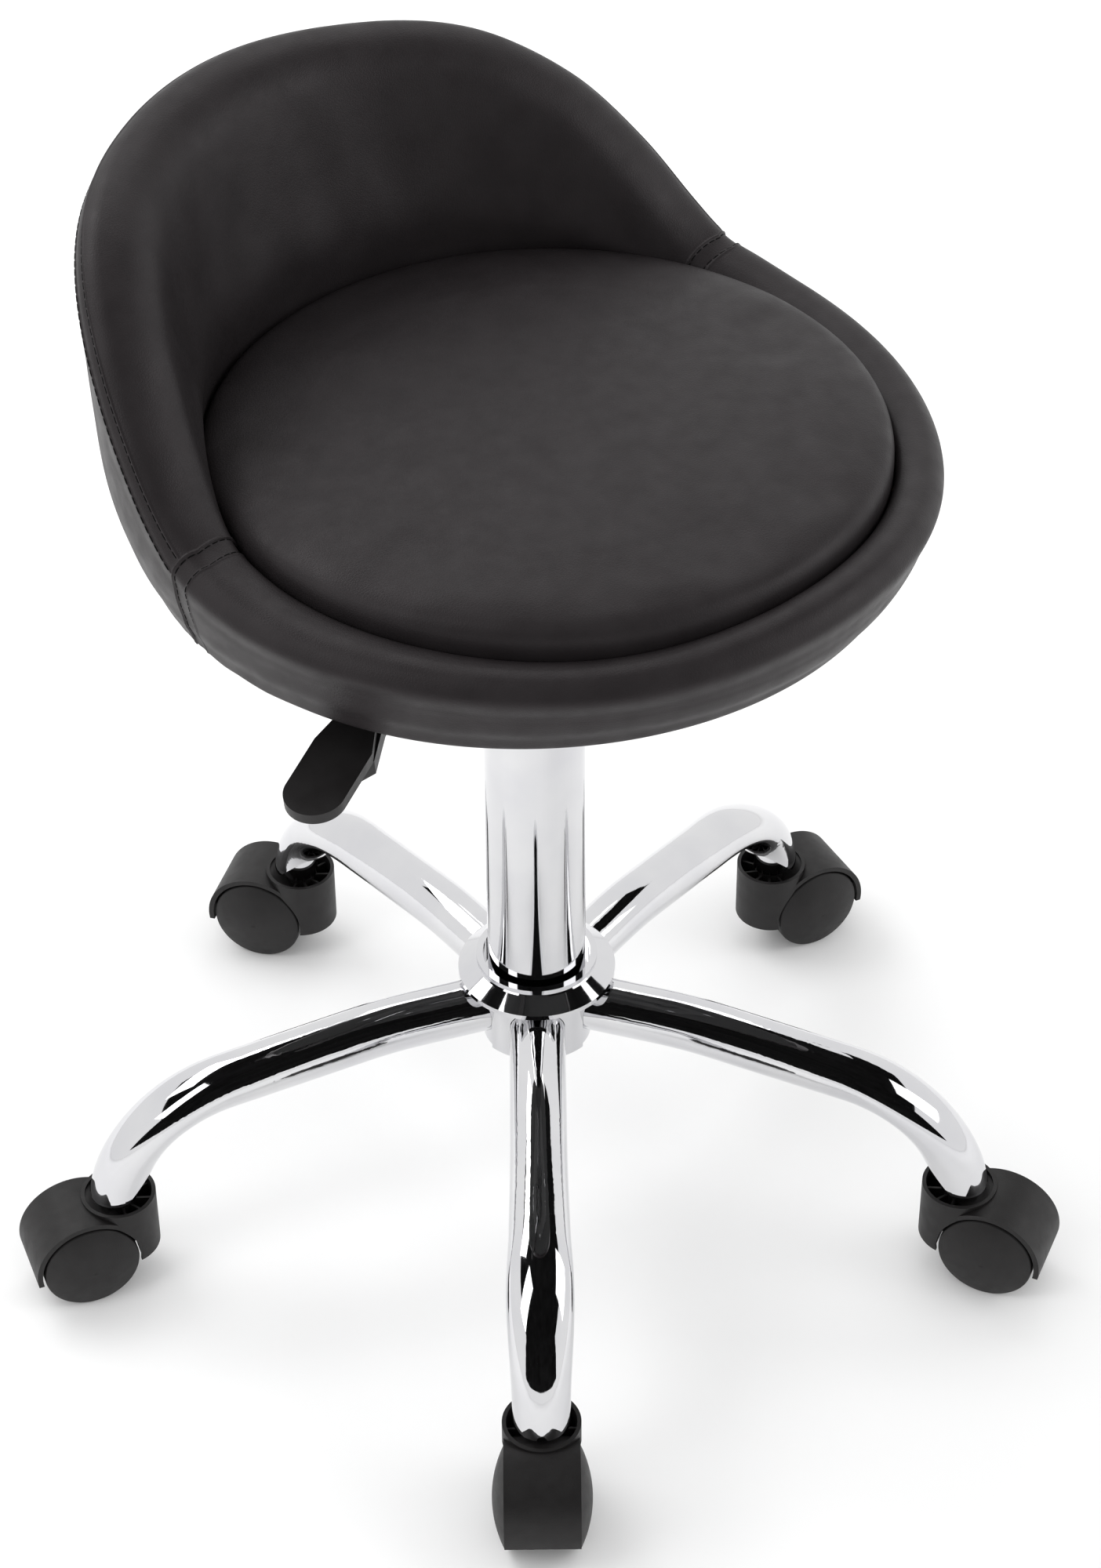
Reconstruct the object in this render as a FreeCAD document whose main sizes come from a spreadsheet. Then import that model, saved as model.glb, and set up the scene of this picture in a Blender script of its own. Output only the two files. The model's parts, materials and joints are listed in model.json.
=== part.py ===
"""Adjustable swivel stool: five-leg chrome base on twin-wheel casters, gas lift, low-back seat.

Millimetres. The origin is on the floor under the column, +Z is up and the sitter faces -Y.
"""
import FreeCAD, Part
import math
import os
import re

import Sketcher
from FreeCAD import Placement, Rotation, Vector

DRIVING_SIZES = {
    # base: a hub, five bent tubes and their caster sockets
    "leg_count": 5, "front_leg_angle": -137.5, "stem_circle": 227.2,
    "hub_low": 104, "hub_sleeve": 28, "hub_skirt": 32.5, "hub_skirt_wall": 2, "hub_skirt_low": 108.6,
    "hub_web_low": 142, "hub_recess_low": 147, "hub_flange": 40.2, "hub_flange_low": 143.4,
    "hub_flange_top": 146, "hub_collar": 30.9, "hub_collar_low": 152, "hub_high": 154.7,
    "hub_recess": 27.5, "hub_arch": 14.4,
    "leg_radius": 14.2, "leg_wall": 1.5, "leg_root_height": 127, "leg_straight_end": 167,
    "leg_droop": 8, "leg_droop_start": 52, "leg_droop_run": 45, "leg_bend_radius": 71,
    "leg_bend_end": 76, "leg_end_height": 57, "leg_squeeze": 2.8, "leg_spread": 2.2, "leg_end_run": 12,
    "leg_notch": 2.5, "socket_radius": 10, "socket_bore": 5.75, "socket_low": 53.8, "socket_high": 88,
    # caster: hood, stem, axle and two wheels
    "caster_trail": 21.2, "wheel_radius": 25, "wheel_inner": 8.2, "wheel_shoulder": 18.2,
    "wheel_outer": 24.35, "wheel_rim": 22, "wheel_hub": 6.5, "wheel_bore": 3.05,
    "wheel_bore_end": 21, "axle_radius": 3, "axle_half": 20,
    "stem_radius": 5.5, "stem_low": 31, "stem_high": 79, "stem_collar": 7, "stem_collar_low": 51.2,
    "grip_groove": 4.6, "grip_low": 69, "grip_high": 73,
    "hood_low": 20.5, "hood_tower": 19.2, "hood_wall": 2, "hood_high": 55, "hood_floor": 40,
    "hood_arch": 26.2, "hood_band": 29, "hood_half_width": 18.4, "hood_web_half": 7,
    "hood_boss": 7.5, "hood_boss_high": 51, "hood_bore": 5.56, "hood_bore_low": 30.5,
    "hood_rib_high": 50, "hood_rib_thick": 1.2, "hood_rib_step": 36, "hood_crown_angle": 25,
    "hood_front": 6, "hood_front_high": 24, "hood_skirt_high": 16.5, "hood_skirt_start": 33,
    "hood_skirt_end": 37, "hood_keel_high": 14, "hood_keel_start": 9, "hood_keel_front_high": 18.6,
    # gas lift
    "tube_radius": 25, "tube_inner": 23.5, "tube_high": 380, "base_plate_high": 107,
    "neck_radius": 4, "neck_bore": 4.08, "bearing_radius": 11, "bearing_high": 113,
    "bumper_inner": 5.4, "bumper_radius": 12, "bumper_high": 127.6,
    "clip_radius": 7.5, "clip_low": 101.6, "clip_high": 103.6,
    "rod_radius": 5, "rod_low": 100, "rod_neck_high": 113.3, "rod_high": 378,
    "piston_radius": 12.45, "piston_low": 366, "piston_bore": 3,
    "cylinder_radius": 14, "cylinder_inner": 12.5, "cylinder_low": 128, "cylinder_high": 405,
    "cylinder_cap": 8, "guide_high": 146, "guide_bore": 5.06,
    "bush_bore": 14.06, "bush_low": 330, "bush_lip": 24.6, "bush_lip_low": 380, "bush_high": 383.5,
    "pin_radius": 3, "pin_bore": 3.06, "pin_low": 394, "pin_head": 4.5, "pin_head_high": 397,
    "pin_high": 409.7,
    # seat plate and height lever
    "plate_side": 170, "plate_corner": 14, "plate_low": 423.5, "plate_thick": 3,
    "box_length": 80, "box_width": 66, "box_low": 388, "box_wall": 2.5, "box_corner": 6,
    "taper_radius": 17.5,
    "taper_low": 385.5, "taper_high": 403, "slot_half": 7, "slot_low": 406,
    "bolt_spacing": 140, "bolt_radius": 3, "bolt_clearance": 0.2, "bolt_drive": 2,
    "bolt_drive_deep": 2.5, "bolt_head": 5.5, "bolt_head_thick": 4, "bolt_high": 438.5,
    "nut_flange": 9, "nut_barrel": 4.5, "nut_flange_thick": 1.5,
    "pivot_offset": 30, "pivot_height": 414, "pivot_radius": 2, "pivot_bore": 2.06, "pivot_half": 33,
    "lever_radius": 4, "lever_inner_end": 5, "lever_bend": 55, "lever_reach": 100,
    "lever_bend_radius": 18, "lever_bend_angle": 20.3, "lever_roll": 24.2, "lever_eye": 5.6,
    "lever_eye_half": 6,
    "handle_start": 55, "handle_neck_half": 10.5, "handle_width": 28, "handle_neck_end": 90,
    "handle_flare_end": 113, "handle_tip": 156, "handle_blade": 5.5, "handle_socket_end": 121,
    "handle_socket_thick": 8, "handle_socket_taper": 9, "handle_neck_front": 5,
    "handle_socket_front": 7.5,
    # seat
    "cover_low": 426.5, "board_low": 428, "board_high": 440, "board_radius": 174,
    "cover_radius": 175, "seat_shift": 4.8, "rim_foot": 179, "rim_low": 425, "rim_foot_high": 431,
    "rim_radius": 186.3, "rim_belly": 446, "rim_shoulder": 190.8, "rim_shoulder_high": 458,
    "rim_high": 475, "back_high": 593, "back_flare": 197, "back_rise_start": -10,
    "back_slope_start": 52, "back_slope_low": 497, "back_slope_end": 112, "back_slope_high": 551,
    "back_rise_radius": 90, "back_crown_radius": 100, "rim_reach": 215,
    "pocket_radius": 158.3, "pocket_lean_low": 478, "pocket_lean_high": 600,
    "pocket_lean_radius": 176, "pad_shift": -10, "pad_radius": 157.8, "pad_groove": 469,
    "pad_shoulder": 484, "pad_shoulder_radius": 143, "pad_edge_round": 15.5, "pad_crown_round": 400,
    "pad_flat": 70, "pad_high": 492, "seam_angle": 80,
    "soft_gap": 0.3, "shell_inner": 166, "shell_outer": 172, "shell_low": 440, "shell_high": 548,
    "shell_half_angle": 42,
}
CASTER_SWING = (0.0, -5.4, -26.4, 37.2, 2.7)      # how far each caster has swung off its leg

doc = FreeCAD.newDocument("SwivelStool")
sheet = doc.addObject("Spreadsheet::Sheet", "Sizes")
for row, (alias, number) in enumerate(DRIVING_SIZES.items(), start=1):
    sheet.set("A%d" % row, alias.replace("_", " "))
    sheet.set("B%d" % row, str(number))
    sheet.setAlias("B%d" % row, alias)
doc.recompute()

NODES = {}                                        # node name -> the object that holds its shape


def value(expression):
    """The number that an expression over the sheet's aliases stands for."""
    found = sheet.evalExpression(expression)
    return float(getattr(found, "Value", found))


def in_sheet(expression):
    """The same expression as another object has to write it, with the sheet's name before each alias."""
    def named(word):
        return "Sizes." + word.group() if word.group() in DRIVING_SIZES else word.group()
    return re.sub(r"[a-z]\w*", named, expression)


def bind(thing, **expressions):
    """Bind properties of an object to sheet expressions; x, y and z stand for its position."""
    for name, expression in expressions.items():
        path = "Placement.Base." + name if name in ("x", "y", "z") else name
        thing.setExpression(path, in_sheet(expression))


def new_body(label):
    body = doc.addObject("PartDesign::Body", label)
    body.Label = label
    return body


def keep(label, thing):
    """Make an object the one that is written as this node."""
    thing.Label = label
    NODES[label] = thing
    return thing


def origin_part(body, role):
    return [part for part in body.Origin.OriginFeatures if part.Role == role][0]


def new_sketch(body, name, role, height=None):
    """A sketch on one of the body's own origin planes, or at a height above it."""
    sketch = body.newObject("Sketcher::SketchObject", body.Name + "_" + name)
    sketch.AttachmentSupport = [(origin_part(body, role), "")]
    sketch.MapMode = "FlatFace"
    if height is not None:
        sketch.setExpression("AttachmentOffset.Base.z", in_sheet(height))
    return sketch


def arc_between(start, end, radius, side):
    """The short arc from start to end; side 1 puts its centre left of the chord, -1 right of it."""
    chord = end - start
    towards_centre = Vector(-chord.y, chord.x, 0).normalize() * side
    reach = math.sqrt(max(radius ** 2 - chord.Length ** 2 / 4, 0))
    crown = (start + end) * 0.5 + towards_centre * (reach - radius)
    if side > 0:
        return Part.ArcOfCircle(start, crown, end)
    return Part.ArcOfCircle(end, crown, start)


def outline(sketch, points):
    """A closed outline through points, each a pair of expressions.

    A third entry, (radius, side), makes the side that arrives at the point an arc.
    """
    spots = [Vector(value(point[0]), value(point[1]), 0) for point in points]
    first = sketch.GeometryCount
    sides = []
    for index, point in enumerate(points):
        if len(point) == 2:
            sides.append(Part.LineSegment(spots[index - 1], spots[index]))
        else:
            radius, side = point[2]
            sides.append(arc_between(spots[index - 1], spots[index], value(radius), side))
    sketch.addGeometry(sides, False)
    drawn = sketch.Geometry[first:]
    constraints = []
    bindings = []
    for index, point in enumerate(points):
        following = (index + 1) % len(points)
        end_tag = 2 if drawn[index].EndPoint.isEqual(spots[index], 1e-6) else 1
        start_tag = 1 if drawn[following].StartPoint.isEqual(spots[index], 1e-6) else 2
        constraints.append(Sketcher.Constraint("Coincident", first + index, end_tag,
                                               first + following, start_tag))
        for kind, expression in (("DistanceX", point[0]), ("DistanceY", point[1])):
            bindings.append((len(constraints), expression))
            constraints.append(Sketcher.Constraint(kind, -1, 1, first + index, end_tag,
                                                   value(expression)))
        if len(point) == 3:
            bindings.append((len(constraints), point[2][0]))
            constraints.append(Sketcher.Constraint("Radius", first + index, value(point[2][0])))
    numbers = sketch.addConstraint(constraints)
    for position, expression in bindings:
        sketch.setExpression("Constraints[%d]" % numbers[position], in_sheet(expression))
    return sketch


def circle(sketch, radius, across="0", up="0"):
    """A circle whose radius and centre are expressions."""
    index = sketch.addGeometry(Part.Circle(Vector(value(across), value(up), 0), Vector(0, 0, 1),
                                           value(radius)), False)
    number = sketch.addConstraint(Sketcher.Constraint("Radius", index, value(radius)))
    sketch.setExpression("Constraints[%d]" % number, in_sheet(radius))
    for kind, expression in (("DistanceX", across), ("DistanceY", up)):
        number = sketch.addConstraint(Sketcher.Constraint(kind, -1, 1, index, 3, value(expression)))
        sketch.setExpression("Constraints[%d]" % number, in_sheet(expression))
    return sketch


def pad(body, name, sketch, length, symmetric=False, reverse=False):
    feature = body.newObject("PartDesign::Pad", body.Name + "_" + name)
    feature.Profile = sketch
    feature.SideType = "Symmetric" if symmetric else "One side"
    feature.Reversed = reverse
    feature.setExpression("Length", in_sheet(length))
    return feature


def pocket(body, name, sketch, length, symmetric=False, reverse=False):
    feature = body.newObject("PartDesign::Pocket", body.Name + "_" + name)
    feature.Profile = sketch
    feature.SideType = "Symmetric" if symmetric else "One side"
    feature.Reversed = reverse
    feature.setExpression("Length", in_sheet(length))
    return feature


def revolve(body, name, sketch):
    feature = body.newObject("PartDesign::Revolution", body.Name + "_" + name)
    feature.Profile = sketch
    feature.ReferenceAxis = (sketch, ["V_Axis"])
    feature.Angle = 360
    return feature


def turned(label, points):
    """A turned part: its half section (radius, height) revolved about the body's Z axis."""
    body = new_body(label)
    revolve(body, "turning", outline(new_sketch(body, "section", "XZ_Plane"), points))
    return body


def ring_section(inner, outer, low, high):
    return [(inner, low), (outer, low), (outer, high), (inner, high)]


# ---------------------------------------------------------------- base
def leg_angle(index):
    return value("front_leg_angle") + index * 360 / value("leg_count")


def stand_at_stem(thing, index, rotation):
    """Put a caster piece's own frame on the stem axis of leg number index."""
    thing.Placement = Placement(Vector(), rotation)
    turn = "(front_leg_angle + %d * 360 / leg_count)" % index
    bind(thing, x="stem_circle * cos" + turn, y="stem_circle * sin" + turn)


def make_hub():
    body = turned("hub", [
        ("tube_radius", "hub_low"), ("hub_sleeve", "hub_low"), ("hub_sleeve", "hub_web_low"),
        ("hub_skirt - hub_skirt_wall", "hub_web_low"), ("hub_skirt - hub_skirt_wall", "hub_skirt_low"),
        ("hub_skirt", "hub_skirt_low"), ("hub_skirt", "hub_web_low"),
        ("hub_flange", "hub_flange_low"), ("hub_flange", "hub_flange_top"),
        ("hub_collar + 0.8", "hub_collar_low - 0.6"), ("hub_collar", "hub_collar_low"),
        ("hub_collar", "hub_high"), ("hub_recess", "hub_high"), ("hub_recess", "hub_recess_low"),
        ("tube_radius", "hub_recess_low")])
    sketch = new_sketch(body, "arch", "YZ_Plane", "hub_sleeve")
    outline(sketch, [("-hub_arch", "hub_skirt_low - 1"), ("hub_arch", "hub_skirt_low - 1"),
                     ("hub_arch", "leg_root_height"),
                     ("0", "leg_root_height + hub_arch", ("hub_arch", 1)),
                     ("-hub_arch", "leg_root_height", ("hub_arch", 1))])
    arch = pocket(body, "arch_cut", sketch, "hub_flange - hub_sleeve", reverse=True)
    arches = body.newObject("PartDesign::PolarPattern", "hub_arches")
    arches.Originals = [arch]
    arches.Axis = (origin_part(body, "Z_Axis"), [""])
    arches.Angle = 360
    bind(arches, Occurrences="leg_count")
    body.Tip = arches
    body.Placement = Placement(Vector(), Rotation(Vector(0, 0, 1), value("front_leg_angle")))
    keep("hub", body)


def leg_stations():
    """Centreline stations of a leg in its own plane: radius, height, slope, and how far it is flattened.

    The leg leaves the hub level, droops, and then bends down to its caster. It is flattened most
    a third of the way round the bend.
    """
    droop = math.radians(value("leg_droop"))
    bend_end = math.radians(value("leg_bend_end"))
    bend = value("leg_bend_radius")
    start = value("leg_straight_end")
    steps = 12
    inner_end = value("hub_sleeve") - 8
    stride = (start - inner_end) / steps
    radius = inner_end
    height = value("leg_root_height")
    stations = []
    for step in range(steps):
        part = min(max((radius - value("leg_droop_start")) / value("leg_droop_run"), 0), 1)
        slope = droop * part * part * (3 - 2 * part)
        flattened = math.sin(math.pi * max(step / steps - 0.6, 0) * 0.625) ** 2
        stations.append((radius, height, slope, flattened))
        radius += stride
        height -= stride * math.tan(slope)
    bend_steps = 9
    for step in range(bend_steps + 1):
        slope = droop + (bend_end - droop) * step / bend_steps
        flattened = math.sin(math.pi * (0.25 + 0.75 * step / bend_steps)) ** 2
        stations.append((start + bend * (math.sin(slope) - math.sin(droop)),
                         height - bend * (math.cos(droop) - math.cos(slope)), slope, flattened))
    radius, height, slope, flattened = stations[-1]
    run = value("leg_end_run")
    stations.append((radius + run * math.cos(slope), height - run * math.sin(slope), slope, flattened))
    return stations


def leg_tube(shrink):
    """A loft of ellipses along the leg, smaller than the tube's outside by shrink."""
    rings = []
    for radius, height, slope, flattened in leg_stations():
        half_height = value("leg_radius") - value("leg_squeeze") * flattened - shrink
        half_width = value("leg_radius") + value("leg_spread") * flattened - shrink
        ellipse = Part.Ellipse(Vector(), max(half_width, half_height + 1e-4), half_height)
        edge = ellipse.toShape()
        upright = Rotation(Vector(0, 1, 0), Vector(math.sin(slope), 0, math.cos(slope)), Vector(), "XYZ")
        edge.Placement = Placement(Vector(radius, 0, height), upright)
        rings.append(Part.Wire([edge]))
    return Part.makeLoft(rings, True, False)


def make_legs_and_sockets():
    outside = leg_tube(0)
    inside = leg_tube(value("leg_wall"))
    doc.recompute()
    hub = NODES["hub"].Shape.copy()
    hub.Placement = Placement()
    sleeve = Part.makeCylinder(value("hub_sleeve"), value("tube_high"))
    end_height = value("leg_end_height")
    stem = value("stem_circle")
    side = value("leg_radius") * 2
    reach = side * 2
    below = Part.makeBox(reach, side * 2, reach, Vector(stem - side, -side, end_height - reach))
    slant = value("socket_radius") * 2
    corners = [Vector(stem - 1, -side, end_height), Vector(stem - slant, -side, end_height + slant),
               Vector(stem - reach, -side, end_height + slant), Vector(stem - reach, -side, end_height)]
    wedge = Part.Face(Part.makePolygon(corners + corners[:1])).extrude(Vector(0, side * 2, 0))
    notch = Part.makeCylinder(value("leg_notch"), side, Vector(stem, 0, end_height), Vector(1, 0, 0))
    tube = outside.cut([inside, sleeve, hub, below, wedge, notch]).Solids[0]
    socket_low = value("socket_low")
    cylinder = Part.makeCylinder(value("socket_radius"), value("socket_high") - socket_low,
                                 Vector(stem, 0, socket_low))
    guard = Part.makeCylinder(value("socket_radius") + 1, value("grip_low") - socket_low - 4,
                              Vector(stem, 0, socket_low - 1))
    bore = Part.makeCylinder(value("socket_bore"), side * 2, Vector(stem, 0, socket_low - 1))
    socket = cylinder.common(inside.fuse(guard)).cut(bore).Solids[0]
    sockets = []
    for index, number in enumerate(("1", "2", "3", "4", "5")):
        placement = Placement(Vector(), Rotation(Vector(0, 0, 1), leg_angle(index)))
        leg = doc.addObject("Part::Feature", "leg_" + number)
        leg.Shape = tube
        leg.Placement = placement
        keep("leg_" + number, leg)
        piece = doc.addObject("Part::Feature", "socket_" + number)
        piece.Shape = socket
        piece.Placement = placement
        sockets.append(piece)
    group("caster_sockets", sockets)


def group(label, pieces):
    """Several separate solids kept as one node."""
    compound = doc.addObject("Part::Compound", label)
    compound.Links = pieces
    return keep(label, compound)


# ---------------------------------------------------------------- casters
def make_hood(label):
    body = new_body(label)
    tower = circle(new_sketch(body, "tower", "XY_Plane", "hood_low"), "hood_tower")
    pad(body, "tower_pad", tower, "hood_high - hood_low")
    cup = circle(new_sketch(body, "cup", "XY_Plane", "hood_high"), "hood_tower - hood_wall")
    pocket(body, "cup_cut", cup, "hood_high - hood_floor")
    hollow = circle(new_sketch(body, "hollow", "XY_Plane", "hood_low"), "hood_tower - hood_wall")
    pocket(body, "hollow_cut", hollow, "hood_floor - hood_wall - hood_low", reverse=True)
    foot = "sqrt(hood_band ^ 2 - (wheel_radius - hood_low) ^ 2)"
    band = new_sketch(body, "band", "XZ_Plane")
    outline(band, [
        ("caster_trail + " + foot, "hood_low"),
        ("caster_trail", "wheel_radius + hood_band", ("hood_band", 1)),
        ("caster_trail - hood_band * cos(hood_crown_angle)",
         "wheel_radius + hood_band * sin(hood_crown_angle)", ("hood_band", 1)),
        ("-hood_front", "hood_front_high"), ("hood_keel_start", "hood_keel_front_high"),
        ("caster_trail", "hood_keel_high"), ("hood_skirt_start", "hood_skirt_high"),
        ("hood_skirt_end", "hood_low")])
    pad(body, "band_pad", band, "hood_half_width * 2", symmetric=True)
    for side, height in (("near", "hood_web_half"), ("far", "-hood_web_half")):
        arch = new_sketch(body, "arch_" + side, "XZ_Plane", height)
        circle(arch, "hood_arch", "caster_trail", "wheel_radius")
        pocket(body, "arch_cut_" + side, arch, "hood_tower", reverse=side == "near")
    boss = circle(new_sketch(body, "boss", "XY_Plane", "hood_bore_low - 4"), "hood_boss")
    pad(body, "boss_pad", boss, "hood_boss_high - hood_bore_low + 4")
    for number in range(6):
        rib = new_sketch(body, "rib%d" % number, "XZ_Plane")
        turn = Rotation(Vector(0, 1, 0), 90 + number * value("hood_rib_step"))
        rib.AttachmentOffset = Placement(Vector(), turn)
        outline(rib, [("hood_boss - 1", "hood_floor"), ("hood_tower - 1", "hood_floor"),
                      ("hood_tower - 1", "hood_rib_high"), ("hood_boss - 1", "hood_rib_high")])
        pad(body, "rib_pad%d" % number, rib, "hood_rib_thick", symmetric=True)
    bore = circle(new_sketch(body, "bore", "XY_Plane", "hood_boss_high"), "hood_bore")
    pocket(body, "bore_cut", bore, "hood_boss_high - hood_bore_low")
    pin = circle(new_sketch(body, "axle", "XZ_Plane"), "axle_radius", "caster_trail", "wheel_radius")
    pocket(body, "axle_cut", pin, "hood_web_half * 2 + 2", symmetric=True)
    return body


def make_stem(label):
    return turned(label, [
        ("0", "stem_low"), ("stem_radius - 1", "stem_low"), ("stem_radius", "stem_low + 1"),
        ("stem_radius", "stem_collar_low"), ("stem_collar", "stem_collar_low"),
        ("stem_collar", "socket_low"), ("stem_radius", "socket_low"), ("stem_radius", "grip_low"),
        ("grip_groove", "grip_low"), ("grip_groove", "grip_high"), ("stem_radius", "grip_high"),
        ("stem_radius", "stem_high - 1.5"), ("stem_radius - 1.5", "stem_high"), ("0", "stem_high")])


def make_wheel(label):
    """One wheel with its axle along local Z, measured from the caster's middle plane."""
    rise = "(wheel_outer - wheel_shoulder - 0.4)"
    dome_radius = "((wheel_radius - 0.6) ^ 2 + %s ^ 2) / (2 * %s)" % (rise, rise)
    return turned(label, [
        ("wheel_bore", "wheel_inner"), ("wheel_hub", "wheel_inner"), ("wheel_hub", "18"),
        ("wheel_rim", "15.5"), ("wheel_rim", "wheel_inner"), ("wheel_radius - 0.8", "wheel_inner"),
        ("wheel_radius", "wheel_inner + 0.8"), ("wheel_radius", "wheel_shoulder - 1"),
        ("wheel_radius - 0.6", "wheel_shoulder + 0.4", ("1.8", 1)),
        ("0", "wheel_outer", (dome_radius, 1)), ("0", "wheel_bore_end"),
        ("wheel_bore", "wheel_bore_end")])


def make_casters():
    grips = []
    for index, number in enumerate(("1", "2", "3", "4", "5")):
        heading = leg_angle(index) + CASTER_SWING[index]
        facing = Rotation(Vector(0, 0, 1), heading)
        upright = {"caster_hood_": make_hood, "caster_stem_": make_stem}
        for prefix, maker in upright.items():
            piece = keep(prefix + number, maker(prefix + number))
            stand_at_stem(piece, index, facing)
        grip = turned("grip_ring_" + number,
                      ring_section("grip_groove", "socket_bore", "grip_low + 0.3", "grip_high - 0.3"))
        stand_at_stem(grip, index, facing)
        grips.append(grip)
        across = {"caster_axle_": 90, "caster_wheel_left_": -90, "caster_wheel_right_": 90}
        for prefix, tilt in across.items():
            label = prefix + number
            if prefix == "caster_axle_":
                piece = turned(label, [
                    ("0", "-axle_half"), ("axle_radius - 0.5", "-axle_half"),
                    ("axle_radius", "0.5 - axle_half"), ("axle_radius", "axle_half - 0.5"),
                    ("axle_radius - 0.5", "axle_half"), ("0", "axle_half")])
            else:
                piece = make_wheel(label)
            turn = "(front_leg_angle + %d * 360 / leg_count)" % index
            steer = "(front_leg_angle + %d * 360 / leg_count + %g)" % (index, CASTER_SWING[index])
            piece.Placement = Placement(Vector(), facing.multiply(Rotation(Vector(1, 0, 0), tilt)))
            bind(piece, x="stem_circle * cos%s + caster_trail * cos%s" % (turn, steer),
                 y="stem_circle * sin%s + caster_trail * sin%s" % (turn, steer), z="wheel_radius")
            keep(label, piece)
    group("caster_grip_rings", grips)


# ---------------------------------------------------------------- gas lift
def make_gas_lift():
    keep("outer_tube", turned("outer_tube", ring_section(
        "tube_inner", "tube_radius", "hub_low", "tube_high")))
    keep("tube_base_plate", turned("tube_base_plate", ring_section(
        "neck_bore", "tube_inner", "hub_low", "base_plate_high")))
    keep("thrust_bearing", turned("thrust_bearing", [
        ("neck_bore", "base_plate_high"), ("bearing_radius", "base_plate_high"),
        ("bearing_radius", "base_plate_high + 1.5"), ("bearing_radius - 1.5", "base_plate_high + 3"),
        ("bearing_radius", "bearing_high - 1.5"), ("bearing_radius", "bearing_high"),
        ("neck_bore", "bearing_high")]))
    keep("rubber_bumper", turned("rubber_bumper", [
        ("bumper_inner", "bearing_high"), ("bumper_radius", "bearing_high"),
        ("bumper_radius - 1", "bearing_high + 7"), ("bumper_radius", "bumper_high"),
        ("bumper_inner", "bumper_high")]))
    clip = keep("retaining_clip", turned("retaining_clip", ring_section(
        "neck_radius - 0.8", "clip_radius", "clip_low", "clip_high")))
    gap = new_sketch(clip, "gap", "XY_Plane", "clip_high")
    outline(gap, [("0", "-neck_radius + 1.2"), ("clip_radius + 1", "-neck_radius + 1.2"),
                  ("clip_radius + 1", "neck_radius - 1.2"), ("0", "neck_radius - 1.2")])
    pocket(clip, "gap_cut", gap, "clip_high - clip_low + 1")
    keep("piston_rod", turned("piston_rod", [
        ("0", "rod_low"), ("neck_radius", "rod_low"), ("neck_radius", "clip_low"),
        ("neck_radius - 0.8", "clip_low"), ("neck_radius - 0.8", "clip_high"),
        ("neck_radius", "clip_high"), ("neck_radius", "rod_neck_high"),
        ("rod_radius", "rod_neck_high"), ("rod_radius", "piston_low"), ("piston_bore", "piston_low"),
        ("piston_bore", "rod_high"), ("0", "rod_high")]))
    keep("piston", turned("piston", [
        ("piston_bore", "piston_low"), ("piston_radius", "piston_low"),
        ("piston_radius", "piston_low + 4"), ("piston_radius - 1.2", "piston_low + 4"),
        ("piston_radius - 1.2", "piston_low + 8"), ("piston_radius", "piston_low + 8"),
        ("piston_radius", "rod_high"), ("piston_bore", "rod_high")]))
    keep("pressure_tube", turned("pressure_tube", [
        ("cylinder_inner", "cylinder_low"), ("cylinder_radius", "cylinder_low"),
        ("cylinder_radius", "cylinder_high - 1"), ("cylinder_radius - 1", "cylinder_high"),
        ("pin_bore", "cylinder_high"), ("pin_bore", "cylinder_high - cylinder_cap"),
        ("cylinder_inner", "cylinder_high - cylinder_cap")]))
    keep("rod_guide", turned("rod_guide", ring_section(
        "guide_bore", "cylinder_inner", "cylinder_low", "guide_high")))
    keep("guide_bush", turned("guide_bush", [
        ("bush_bore", "bush_low"), ("tube_inner", "bush_low"), ("tube_inner", "bush_lip_low"),
        ("bush_lip", "bush_lip_low"), ("bush_lip", "bush_high - 1.2"), ("bush_lip - 1.5", "bush_high"),
        ("bush_bore", "bush_high")]))
    keep("release_pin", turned("release_pin", [
        ("0", "pin_low"), ("pin_head", "pin_low"), ("pin_head", "pin_head_high"),
        ("pin_radius", "pin_head_high"), ("pin_radius", "pin_high - 0.5"),
        ("pin_radius - 0.5", "pin_high"), ("0", "pin_high")]))


# ---------------------------------------------------------------- seat plate and lever
def rounded_rectangle(sketch, half_x, half_y, corner):
    """A rectangle about the origin with rounded corners, from expressions for its half sides."""
    near_x = "(%s - %s)" % (half_x, corner)
    near_y = "(%s - %s)" % (half_y, corner)
    turn = (corner, 1)
    return outline(sketch, [
        ("-" + near_x, "-" + half_y, turn), (near_x, "-" + half_y), (half_x, "-" + near_y, turn),
        (half_x, near_y), (near_x, half_y, turn), ("-" + near_x, half_y),
        ("-" + half_x, near_y, turn), ("-" + half_x, "-" + near_y)])


def bolt_circles(sketch, radius, shift="0"):
    """Four circles on the seat plate's bolt square."""
    for side_x in ("", "-"):
        for side_y in ("", "-"):
            circle(sketch, radius, side_x + "bolt_spacing / 2", side_y + "bolt_spacing / 2 - " + shift)
    return sketch


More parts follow.
